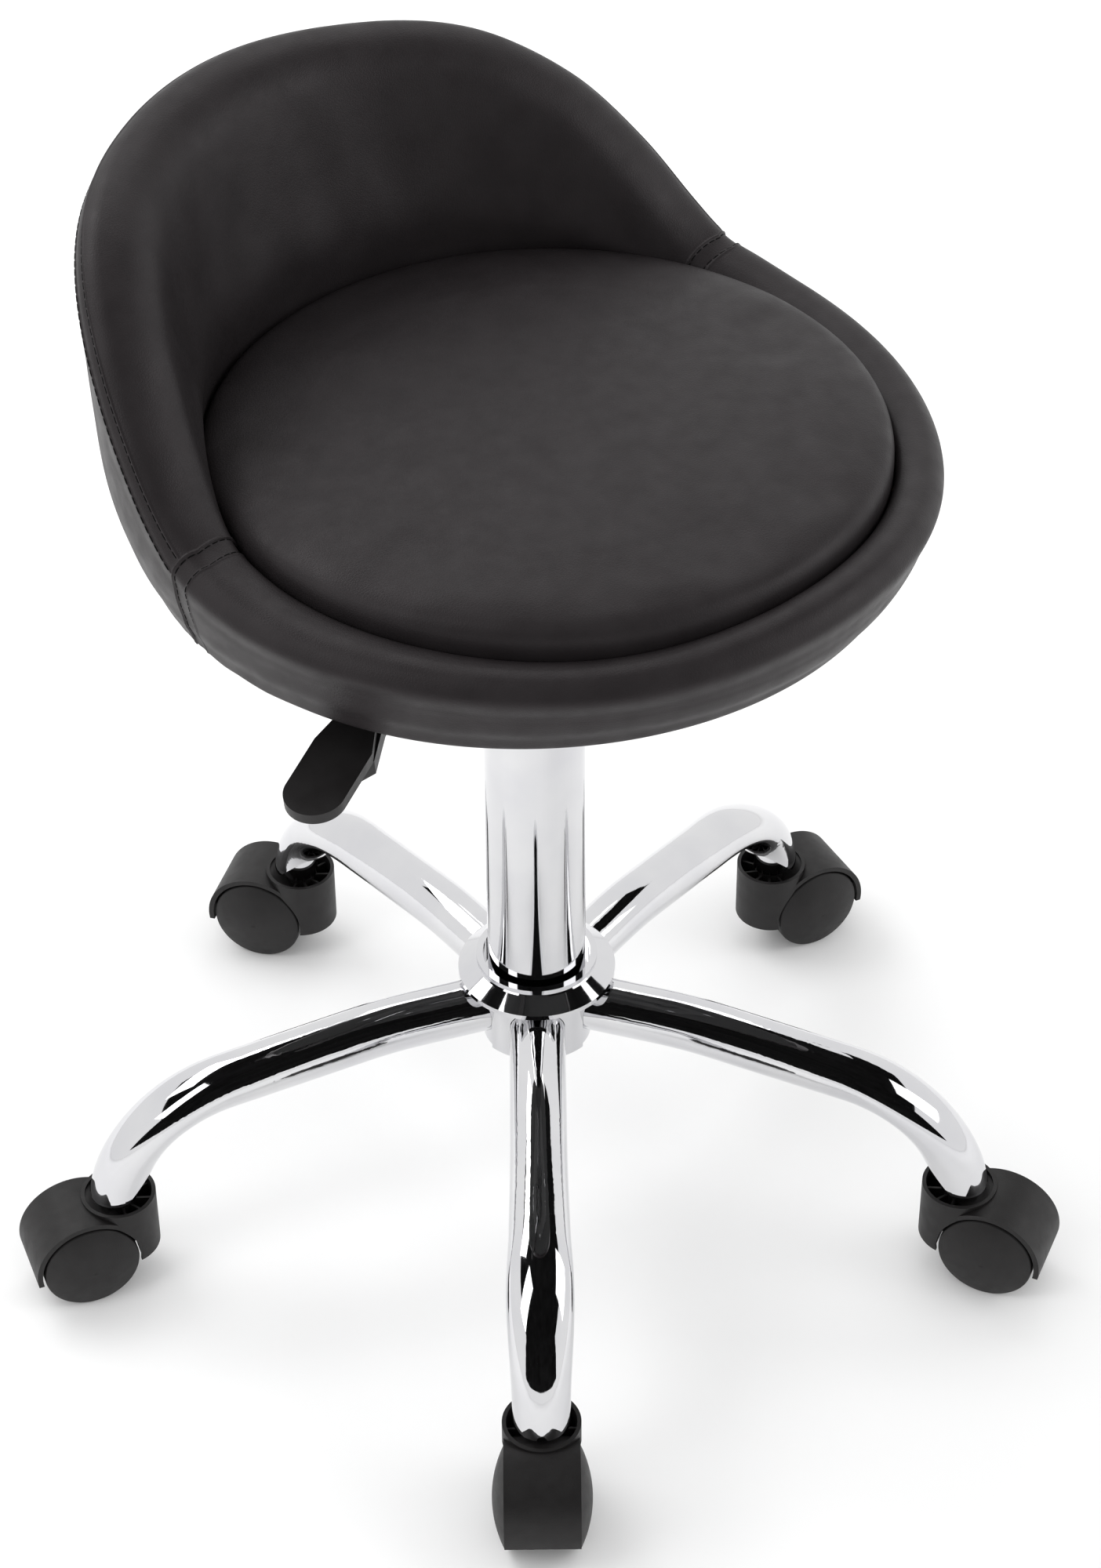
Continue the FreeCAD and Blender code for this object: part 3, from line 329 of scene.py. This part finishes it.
def rounded(corners, each=SECTION_STEPS):
    """A dense smooth line through the corners (centripetal Catmull-Rom)."""
    corners = np.asarray(corners, float)
    ends = np.vstack([2 * corners[0] - corners[1], corners, 2 * corners[-1] - corners[-2]])
    line = []
    for p0, p1, p2, p3 in zip(ends, ends[1:], ends[2:], ends[3:]):
        k0 = 0.0
        k1 = k0 + np.linalg.norm(p1 - p0) ** 0.5
        k2 = k1 + np.linalg.norm(p2 - p1) ** 0.5
        k3 = k2 + np.linalg.norm(p3 - p2) ** 0.5
        t = np.linspace(k1, k2, each, endpoint=False)[:, None]
        a1 = (k1 - t) / (k1 - k0) * p0 + (t - k0) / (k1 - k0) * p1
        a2 = (k2 - t) / (k2 - k1) * p1 + (t - k1) / (k2 - k1) * p2
        a3 = (k3 - t) / (k3 - k2) * p2 + (t - k2) / (k3 - k2) * p3
        b1 = (k2 - t) / (k2 - k0) * a1 + (t - k0) / (k2 - k0) * a2
        b2 = (k3 - t) / (k3 - k1) * a2 + (t - k1) / (k3 - k1) * a3
        line.append((k2 - t) / (k2 - k1) * b1 + (t - k1) / (k2 - k1) * b2)
    return np.vstack(line + [corners[-1:]])


def along(line):
    """Distance from the start of a line to each of its points."""
    return np.concatenate([[0], np.cumsum(np.linalg.norm(np.diff(line, axis=0), axis=1))])


def resampled(line, distances):
    """Points at the given distances along a line."""
    run = along(line)
    return np.stack([np.interp(distances, run, line[:, axis]) for axis in range(line.shape[1])], axis=1)


def grid_normals(grid):
    """Unit normals of a grid of points whose first axis goes all the way around."""
    ahead = np.roll(grid, -1, axis=0) - np.roll(grid, 1, axis=0)
    across = np.gradient(grid, axis=1)
    normal = np.cross(across, ahead)
    length = np.linalg.norm(normal, axis=2, keepdims=True)
    return normal / np.maximum(length, 1e-12)


def new_piece(name, points, faces, finish):
    """A smooth-shaded mesh object in the scene."""
    mesh = bpy.data.meshes.new(name)
    mesh.from_pydata([tuple(point) for point in points], [], faces)
    mesh.validate()
    mesh.update()
    mesh.polygons.foreach_set("use_smooth", [True] * len(mesh.polygons))
    mesh.materials.append(finish)
    piece = bpy.data.objects.new(name, mesh)
    bpy.context.scene.collection.objects.link(piece)
    return piece


def dip(distance, depth, width):
    """A sewn valley: how far the surface sinks at a distance from the seam."""
    return -depth * np.exp(-(distance / width) ** 2)


def plateau(distance, start, end, height, edge):
    """A band that stands proud between two distances, with soft edges."""
    return height * 0.5 * (np.tanh((distance - start) / edge) - np.tanh((distance - end) / edge))


# ---------------------------------------------------------------- stuffing
def stuffed(name, points, faces, held, most):
    """Where cloth simulation moves each point of a closed cover when it is stuffed.

    It moves a point by at most most. held(point) is 1 where the cover is tacked down and 0 where it
    is free.
    """
    cover = new_piece(name + "_stuffing", points, faces, finish_of_slot["faux_leather"])
    remesh = cover.modifiers.new("voxels", "REMESH")
    remesh.mode = "VOXEL"
    remesh.voxel_size = VOXEL
    shape = bpy.data.meshes.new_from_object(cover.evaluated_get(bpy.context.evaluated_depsgraph_get()))
    cover.modifiers.clear()
    cover.data = shape
    for vertex in shape.vertices:
        vertex.co -= vertex.normal * SHRINK
    start = np.array([vertex.co for vertex in shape.vertices])
    tacks = cover.vertex_groups.new(name="tacks")
    for vertex in shape.vertices:
        tacks.add([vertex.index], held(vertex.co), "REPLACE")
    cloth = cover.modifiers.new("cloth", "CLOTH")
    cloth.settings.vertex_group_mass = "tacks"
    cloth.settings.use_pressure = True
    cloth.settings.uniform_pressure_force = PRESSURE
    cloth.settings.effector_weights.gravity = 0
    cloth.settings.quality = 6
    cloth.settings.tension_stiffness = STIFFNESS
    cloth.settings.compression_stiffness = STIFFNESS
    cloth.settings.bending_stiffness = 2
    cloth.collision_settings.use_collision = False
    cloth.point_cache.frame_end = FRAMES
    for number in range(1, FRAMES + 1):
        bpy.context.scene.frame_set(number)
    swollen = cover.evaluated_get(bpy.context.evaluated_depsgraph_get()).to_mesh()
    moved = np.array([vertex.co for vertex in swollen.vertices]) - start
    far = np.linalg.norm(moved, axis=1, keepdims=True)
    moved *= np.minimum(1, most / np.maximum(far, 1e-9))
    tree = kdtree.KDTree(len(start))
    for index, place in enumerate(start):
        tree.insert(place, index)
    tree.balance()
    out = np.zeros_like(points)
    for index, point in enumerate(points):
        near = tree.find_n(point, NEIGHBOURS)
        weights = np.array([math.exp(-(entry[2] / BLUR) ** 2) + 1e-9 for entry in near])
        out[index] = weights @ moved[[entry[1] for entry in near]] / weights.sum()
    bpy.data.objects.remove(cover)
    bpy.context.scene.frame_set(1)
    return out


def gentle(lengths, limit):
    """Lengths held within a limit, without a visible edge where the limit starts."""
    return limit * np.tanh(lengths / limit)


# ---------------------------------------------------------------- rim and back
def crest_height(angle):
    return through(CREST, abs(angle)) * MM


def outer_radius(height, angle):
    """From the rim's centre to the outside of the cover, at a height and an angle."""
    turn = math.radians(angle)
    rise = max(height - BELLY, 0)
    ahead = RIM_RADIUS + FLARE * (rise / FLARE_SPAN) ** FLARE_POWER * (1 - math.exp(-rise / FLARE_START))
    return ahead / math.hypot(math.sin(turn) / NARROWING, math.cos(turn))


def groove_radius(angle):
    """From the rim's centre to the groove round the seat pad, whose centre lies further forward."""
    offset = RIM_CENTRE.y - PAD_CENTRE.y
    turn = math.radians(angle)
    return math.sqrt(GROOVE_RADIUS ** 2 - (offset * math.sin(turn)) ** 2) - offset * math.cos(turn)


def larger(first, second):
    """The larger of two lengths, with a smooth change from one to the other."""
    return 0.5 * (first + second + math.hypot(first - second, BLEND))


def rim_section(angle):
    """Corners of the section at an angle from the middle of the back, from the groove to the board.

    Returns the corners and the index of the crest.
    """
    crest = crest_height(angle)
    inner = groove_radius(angle)
    lip = outer_radius(crest, angle)
    belly = outer_radius(BELLY, angle)
    groove = -larger(-GROOVE_HEIGHT, GROOVE_DEPTH - crest)
    drop = ROLL_INSIDE * (1 - math.exp((groove - crest) / ROLL_INSIDE))
    roll = larger(inner, lip - THICKNESS)
    roll_height = crest - drop
    top_radius = lip - ROLL_TOP
    corners = [(inner + 1 * MM, BOARD_TOP + CLEARANCE)]
    corners += [(inner + away, groove - down) for away, down in GROOVE_WALL]
    for part in INSIDE_PARTS:
        padding = CROWN * math.sin(math.pi * part) ** CROWN_POWER
        padding *= min(1, (roll_height - groove) / CROWN_RISE)
        corners.append((inner + (roll - inner) * part ** LEAN_POWER - padding,
                        groove + (roll_height - groove) * part))
    for turn in map(math.radians, INSIDE_TURNS):
        corners.append((top_radius - (top_radius - roll) * math.cos(turn),
                        roll_height + drop * math.sin(turn)))
    top = len(corners) - 1
    for turn in map(math.radians, OUTSIDE_TURNS):
        corners.append((top_radius + ROLL_TOP * math.cos(turn),
                        crest - ROLL_OUTSIDE * (1 - math.sin(turn))))
    shoulder = crest - ROLL_OUTSIDE - SHOULDER
    for part in OUTSIDE_PARTS:
        height = BELLY + (shoulder - BELLY) * part
        corners.append((outer_radius(height, angle), height))
    corners.append((belly, BELLY))
    corners += [(BOARD_RADIUS + (belly - BOARD_RADIUS) * part, height) for part, height in UNDERSIDE]
    corners += [(BOARD_RADIUS + out, height) for out, height in TUCK]
    return corners, top


def seam_angles():
    """Angles round the ring: close together at the side seams, wider elsewhere."""
    wide = 1.4
    fine = 0.13
    before = 4
    after = 7
    near = SIDE_SEAM - before
    far = SIDE_SEAM + after
    half = np.concatenate([np.linspace(0, near, round(near / wide), endpoint=False),
                           np.linspace(near, SIDE_SEAM, round(before / fine), endpoint=False),
                           np.linspace(SIDE_SEAM, far, round(after / fine), endpoint=False),
                           np.linspace(far, 180, round((180 - far) / wide))])
    return np.concatenate([-half[::-1], half[1:-1]])


def rim_grid():
    """Points of the whole ring, their distance below the crest (negative inside), and the angles."""
    angles = seam_angles()
    reaches = []
    heights = []
    below = []
    rows_inside, rows_above, rows_in_seam, rows_beyond = 60, 8, 34, 44
    seam_start = CREST_SEAM - 3 * MM
    seam_end = CREST_SEAM + STRIP + 2.5 * MM
    seam_rows = np.concatenate([np.linspace(0, seam_start, rows_above, endpoint=False),
                                np.linspace(seam_start, seam_end, rows_in_seam, endpoint=False)])
    for angle in angles:
        corners, top = rim_section(angle)
        line = rounded(corners)
        run = along(line)
        crest_run = run[top * SECTION_STEPS]
        places = np.concatenate([np.linspace(0, crest_run, rows_inside, endpoint=False),
                                 crest_run + seam_rows,
                                 np.linspace(crest_run + seam_end, run[-1], rows_beyond)])
        flat = resampled(line, places)
        reaches.append(flat[:, 0])
        heights.append(flat[:, 1])
        below.append(places - crest_run)
    reaches = np.array(reaches)
    heights = np.array(heights)
    below = np.array(below)
    near_seam = np.exp(-((np.abs(angles) - SIDE_SEAM) / SEAM_LEAN_SPAN) ** 4)[:, None]
    from_crest = np.where(below < 0, below / below.min(axis=1)[:, None], below / below.max(axis=1)[:, None])
    leaning = angles[:, None] - np.sign(angles)[:, None] * SEAM_LEAN * near_seam * from_crest
    for row in range(below.shape[1]):
        reaches[:, row] = np.interp(leaning[:, row], angles, reaches[:, row])
        heights[:, row] = np.interp(leaning[:, row], angles, heights[:, row])
    leaning = np.radians(leaning)
    grid = np.stack([reaches * np.sin(leaning) + RIM_CENTRE.x, reaches * np.cos(leaning) + RIM_CENTRE.y,
                     heights], axis=2)
    return grid, below, angles


def loop_faces(columns, rows, around):
    """Quads between closed sections, and the two end caps when the run is open."""
    faces = []
    for column in range(columns if around else columns - 1):
        following = (column + 1) % columns
        for row in range(rows):
            above = (row + 1) % rows
            faces.append((column * rows + row, column * rows + above, following * rows + above,
                          following * rows + row))
    if not around:
        faces.append(tuple(range(rows))[::-1])
        faces.append(tuple((columns - 1) * rows + row for row in range(rows)))
    return faces


def felled(past, depth):
    """A felled seam: its valley, the strip that stands proud beside it, and the strip's far edge."""
    return (dip(past, depth, SEAM_WIDTH) + plateau(past, STRIP_START, STRIP, STRIP_RISE, STRIP_EDGE)
            + dip(past - STRIP, 0.5 * MM, STRIP_EDGE))


def sew(grid, below, angles):
    """Sinks the seams and raises the felled strips beside them."""
    normal = grid_normals(grid)
    reach = np.hypot(grid[:, :, 0] - RIM_CENTRE.x, grid[:, :, 1] - RIM_CENTRE.y)
    past_side = np.radians(np.abs(angles)[:, None] - SIDE_SEAM) * reach
    fade_start, fade = GROOVE_HEIGHT - 6 * MM, 1.5 * MM
    on_cover = np.where(below > 0, 1.0, 1 / (1 + np.exp(-(grid[:, :, 2] - fade_start) / fade)))
    change = on_cover * felled(past_side, 0.7 * MM)
    on_back = 0.5 * (1 - np.tanh((past_side + 1 * MM) / (1 * MM)))
    change += on_back * felled(below - CREST_SEAM, 0.6 * MM)
    return grid + normal * change[:, :, None]


def capsule(points, normals):
    """A short thread along points, lying in the surface, pulled in at both ends."""
    rings = []
    count = len(points)
    for index in range(count):
        ahead = points[min(index + 1, count - 1)] - points[max(index - 1, 0)]
        ahead = ahead / np.linalg.norm(ahead)
        side = np.cross(ahead, normals[index])
        part = index / (count - 1)
        full = math.sqrt(max(1 - (2 * part - 1) ** 4, 0.04))
        centre = points[index] + normals[index] * THREAD * (full - 0.4)
        for step in range(STITCH_SIDES):
            turn = 2 * math.pi * step / STITCH_SIDES
            rings.append(centre + THREAD * full * (math.cos(turn) * side + math.sin(turn) * normals[index]))
    return rings


def stitch_row(name, points, normals):
    """Stitches at an even pitch along a line on the cover."""
    run = along(points)
    stitches = int(run[-1] / STITCH_PITCH)
    made_points = []
    made_faces = []
    for number in range(stitches):
        start = number * STITCH_PITCH + (run[-1] - stitches * STITCH_PITCH) / 2
        places = np.linspace(start, start + STITCH_LENGTH, STITCH_STEPS)
        facing = np.stack([np.interp(places, run, normals[:, axis]) for axis in range(3)], axis=1)
        first = len(made_points)
        last = first + (STITCH_STEPS - 1) * STITCH_SIDES
        made_points += capsule(resampled(points, places), facing)
        for corner in range(first, last, STITCH_SIDES):
            for side in range(STITCH_SIDES):
                beside = (side + 1) % STITCH_SIDES
                made_faces.append((corner + side, corner + beside, corner + STITCH_SIDES + beside,
                                   corner + STITCH_SIDES + side))
        made_faces.append(tuple(first + side for side in range(STITCH_SIDES))[::-1])
        made_faces.append(tuple(last + side for side in range(STITCH_SIDES)))
    piece = new_piece(name, made_points, made_faces, thread)
    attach(piece, "seat")


def line_across(grid, normal, angles, angle, rows):
    """A line on the cover at one angle, over a range of rows."""
    column = np.interp(angle, angles, np.arange(len(angles)))
    low = int(column)
    part = column - low
    return ((1 - part) * grid[low, rows] + part * grid[low + 1, rows],
            (1 - part) * normal[low, rows] + part * normal[low + 1, rows])


def line_along(grid, normal, below, columns, distance):
    """A line on the cover at one distance below the crest, over a range of columns."""
    points = []
    facing = []
    for column in columns:
        row = np.interp(distance, below[column], np.arange(below.shape[1]))
        low = int(row)
        part = row - low
        points.append((1 - part) * grid[column, low] + part * grid[column, low + 1])
        facing.append((1 - part) * normal[column, low] + part * normal[column, low + 1])
    return np.array(points), np.array(facing)


def rim_held(place):
    """1 where the rim's cover is tacked or sewn down: underneath, in the groove and at the side seams."""
    across = place.x - RIM_CENTRE.x
    ahead = place.y - RIM_CENTRE.y
    reach = math.hypot(across, ahead)
    angle = abs(math.degrees(math.atan2(across, ahead)))
    if place.z < rim_low.z + 7 * MM or reach < groove_radius(angle) + 4 * MM and place.z < GROOVE_HEIGHT:
        return 1.0
    from_seam = abs(math.radians(angle - SIDE_SEAM)) * reach
    return max(0.0, 1 - from_seam / (8 * MM)) * 0.9


def stuffed_ring(grid, angles):
    """The ring's grid with the small unevenness that its stuffing gives it."""
    columns, rows = grid.shape[:2]
    moved = stuffed("rim", grid.reshape(-1, 3), loop_faces(columns, rows, True), rim_held, 5 * MM)
    normal = grid_normals(grid)
    swell = (moved.reshape(grid.shape) * normal).sum(axis=2)
    span = 14
    window = np.exp(-((angles[:, None] - angles[None, :] + 180) % 360 / span - 180 / span) ** 2)
    window *= np.gradient(angles)[None, :]
    usual = window @ swell / window.sum(axis=1, keepdims=True)
    return grid + normal * gentle(swell - usual, UNEVENNESS)[:, :, None]


def make_rim_and_back():
    """The ring in two covers that meet at the side seams, and the stitches of all its seams."""
    grid, below, angles = rim_grid()
    rows = grid.shape[1]
    grid = stuffed_ring(grid, angles)
    grid = sew(grid, below, angles)
    normal = grid_normals(grid)
    is_back = np.abs(angles) <= SIDE_SEAM + 1e-6
    middle = np.flatnonzero(is_back)
    first = np.flatnonzero(~is_back & (angles > 0))
    second = np.flatnonzero(~is_back & (angles < 0))
    around_front = np.concatenate([[middle[-1]], first, second, [middle[0]]])
    for node, columns, fill in (("back_cushion", middle, 0.75), ("front_rim", around_front, 0.85)):
        piece = new_piece(node + "_cover", grid[columns].reshape(-1, 3),
                          loop_faces(len(columns), rows, False), finish_of_slot["faux_leather"])
        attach(piece, "seat")
        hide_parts(node)
    stitch_rows = ((FOLD_ROW, "fold"), (STRIP, "top"))
    groove_row = int(np.argmax(grid[len(angles) // 2, :, 2] > GROOVE_HEIGHT))
    last_row = int(np.argmin(grid[0, :, 2]))
    for side, word in ((-1, "right"), (1, "left")):
        for offset, row_name in stitch_rows:
            angle = side * (SIDE_SEAM + math.degrees(offset / RIM_RADIUS))
            points, facing = line_across(grid, normal, angles, angle, slice(groove_row - 1, last_row))
            stitch_row("side_seam_%s_%s_stitches" % (word, row_name), points, facing)
    inner_columns = middle[(np.abs(angles[middle]) < SIDE_SEAM - 0.4)]
    for offset, row_name in stitch_rows:
        points, facing = line_along(grid, normal, below, inner_columns, CREST_SEAM + offset)
        stitch_row("back_seam_%s_stitches" % row_name, points, facing)


# ---------------------------------------------------------------- seat pad
def pad_held(place):
    """1 where the pad's cover is held by the rim round it, and 0 above the groove."""
    return 1.0 if place.z < GROOVE_HEIGHT - 2 * MM else 0.0


def pad_unevenness(points, faces):
    """How far the stuffing raises or lowers each point of the pad, beyond the average of its ring."""
    moved = stuffed("pad", points, faces, pad_held, 6 * MM)
    reach = np.hypot(points[:, 0] - PAD_CENTRE.x, points[:, 1] - PAD_CENTRE.y)
    above = points[:, 2] > GROOVE_HEIGHT
    rings = np.linspace(0, PAD_RADIUS, 17)
    ring_of = np.digitize(reach, rings)
    usual = [moved[above & (ring_of == ring), 2].mean() for ring in range(1, len(rings))]
    uneven = (moved[:, 2] - np.interp(reach, (rings[1:] + rings[:-1]) / 2, usual)) * above
    return gentle(uneven, UNEVENNESS) * np.clip((PAD_RADIUS - reach) / (15 * MM), 0, 1)


def make_seat_pad():
    """The round cushion: a crowned top that rolls down into the groove."""
    edge = PAD_RADIUS - 0.2 * MM
    top = pad_high.z
    corners = [(reach * MM, top - down * MM) for reach, down in PAD_TOP]
    corners += [(edge, top - 22 * MM), (edge - 0.3 * MM, top - 36 * MM),
                (edge - 0.8 * MM, BOARD_TOP + 1 * MM), (edge - 6 * MM, BOARD_TOP + 0.2 * MM),
                (0, BOARD_TOP + 0.2 * MM)]
    line = rounded(corners)
    profile = resampled(line, np.linspace(0, along(line)[-1], 120))
    columns = 240
    rows = len(profile) - 2
    points = []
    faces = []
    crown = columns * rows
    for column in range(columns):
        turn = 2 * math.pi * column / columns
        for reach, height in profile[1:-1]:
            points.append((PAD_CENTRE.x + reach * math.cos(turn), PAD_CENTRE.y + reach * math.sin(turn),
                           height))
        here = column * rows
        following = (column + 1) % columns * rows
        for row in range(rows - 1):
            faces.append((here + row, here + row + 1, following + row + 1, following + row))
        faces.append((crown, here, following))
        faces.append((crown + 1, following + rows - 1, here + rows - 1))
    points += [(PAD_CENTRE.x, PAD_CENTRE.y, profile[0, 1]), (PAD_CENTRE.x, PAD_CENTRE.y, profile[-1, 1])]
    points = np.array(points)
    points[:, 2] += pad_unevenness(points, faces)
    pad = new_piece("seat_pad_cover", points, faces, finish_of_slot["faux_leather"])
    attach(pad, "seat")
    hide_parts("seat_pad")


# ---------------------------------------------------------------- studio
CAMERA_HEADING = -47.815                    # degrees
CAMERA_DOWN = 39.3
CAMERA_ROLL = -0.41
CAMERA_PLACE = (-1.0308, -0.9446, 1.4090)
CAMERA_LENS = 84.26                         # mm, on a sensor 36 mm wide
SENSOR_WIDTH = 36

LIGHT_AIM = (0, 0, 0.45)                    # metres, as all of the studio
LIGHTS = (                                  # name, place, width and height, power
    ("key", (-0.3, 2.1, 2.6), (2.0, 1.2), 28),
    ("back", (1.45, 1.2, 2.85), (1.6, 0.8), 6),
    ("side", (-1.7, 0.5, 2.2), (0.8, 1.6), 10),
    ("fill", (1.4, -1.8, 1.8), (1.4, 1.4), 12))


def make_floor():
    """A plain pale floor."""
    made, surface, add, place = shader("studio_floor")
    join(two_tone(add, place, 3.0, (0.88, 0.88, 0.88), (0.90, 0.90, 0.90)), surface, "Base Color")
    surface.inputs["Roughness"].default_value = 0.8
    half = 6.0
    floor = new_piece("floor", [(-half, -half, 0), (half, -half, 0), (half, half, 0), (-half, half, 0)],
                      [(0, 1, 2, 3)], made)


def area_light(name, place, size, power):
    """A rectangular light that faces the seat."""
    lamp = bpy.data.lights.new(name, "AREA")
    lamp.shape = "RECTANGLE"
    lamp.size, lamp.size_y = size
    lamp.energy = power
    thing = bpy.data.objects.new(name, lamp)
    bpy.context.scene.collection.objects.link(thing)
    thing.location = place
    thing.rotation_mode = "QUATERNION"
    thing.rotation_quaternion = (Vector(LIGHT_AIM) - Vector(place)).to_track_quat("-Z", "Y")


def dark_card(name, corners):
    """A black card that only reflections see, as the dark end of a studio is seen in chrome."""
    made, surface, add, place = shader(name)
    join(two_tone(add, place, 2.0, (0.004, 0.004, 0.004), (0.008, 0.008, 0.008)),
         surface, "Base Color")
    surface.inputs["Roughness"].default_value = 1.0
    surface.inputs["Specular IOR Level"].default_value = 0.0
    card = new_piece(name, corners, [(0, 1, 2, 3)], made)
    card.visible_camera = False
    card.visible_diffuse = False
    card.visible_shadow = False
    card.visible_transmission = False


def make_cards():
    """The dark end of the studio: a wall behind the camera, and a ceiling from there to past the stool.

    The ceiling reaches further at both sides, which leaves the middle of the far side bright.
    """
    heading = math.radians(CAMERA_HEADING)
    ahead = Vector((-math.sin(heading), math.cos(heading), 0))
    side = Vector((math.cos(heading), math.sin(heading), 0))

    def place(across, forward, height):
        return across * side + forward * ahead + Vector((0, 0, height))

    back, front, far = -3.0, 1.45, 2.4
    half, opening = 3.4, 1.3
    low, high = 0.5, 3.0
    dark_card("dark_wall", [place(-half, back, low), place(half, back, low), place(half, back, high),
                            place(-half, back, high)])
    for name, left, right, near, beyond in (("dark_ceiling", -half, half, back, front),
                                            ("dark_ceiling_left", -half, -opening, front, far),
                                            ("dark_ceiling_right", opening, half, front, far)):
        dark_card(name, [place(left, near, high), place(right, near, high), place(right, beyond, high),
                         place(left, beyond, high)])


def make_light():
    """An even white surrounding and the area lights."""
    world = bpy.data.worlds.new("studio")
    bpy.context.scene.world = world
    world.use_nodes = True
    background = world.node_tree.nodes["Background"]
    background.inputs["Color"].default_value = (1, 1, 1, 1)
    background.inputs["Strength"].default_value = 1.0
    for light in LIGHTS:
        area_light(*light)


def make_camera():
    """The viewpoint: from the sitter's front right, 39 degrees above the floor."""
    camera = bpy.data.objects.new("camera", bpy.data.cameras.new("camera"))
    bpy.context.scene.collection.objects.link(camera)
    turn = (Matrix.Rotation(math.radians(CAMERA_HEADING), 4, "Z")
            @ Matrix.Rotation(math.pi / 2 - math.radians(CAMERA_DOWN), 4, "X")
            @ Matrix.Rotation(math.radians(CAMERA_ROLL), 4, "Z"))
    camera.matrix_world = Matrix.Translation(CAMERA_PLACE) @ turn
    camera.data.sensor_width = SENSOR_WIDTH
    camera.data.lens = CAMERA_LENS
    bpy.context.scene.camera = camera


dress_cad_nodes()
make_rim_and_back()
make_seat_pad()
make_floor()
make_cards()
make_light()
make_camera()
bpy.context.scene.view_settings.view_transform = "Standard"
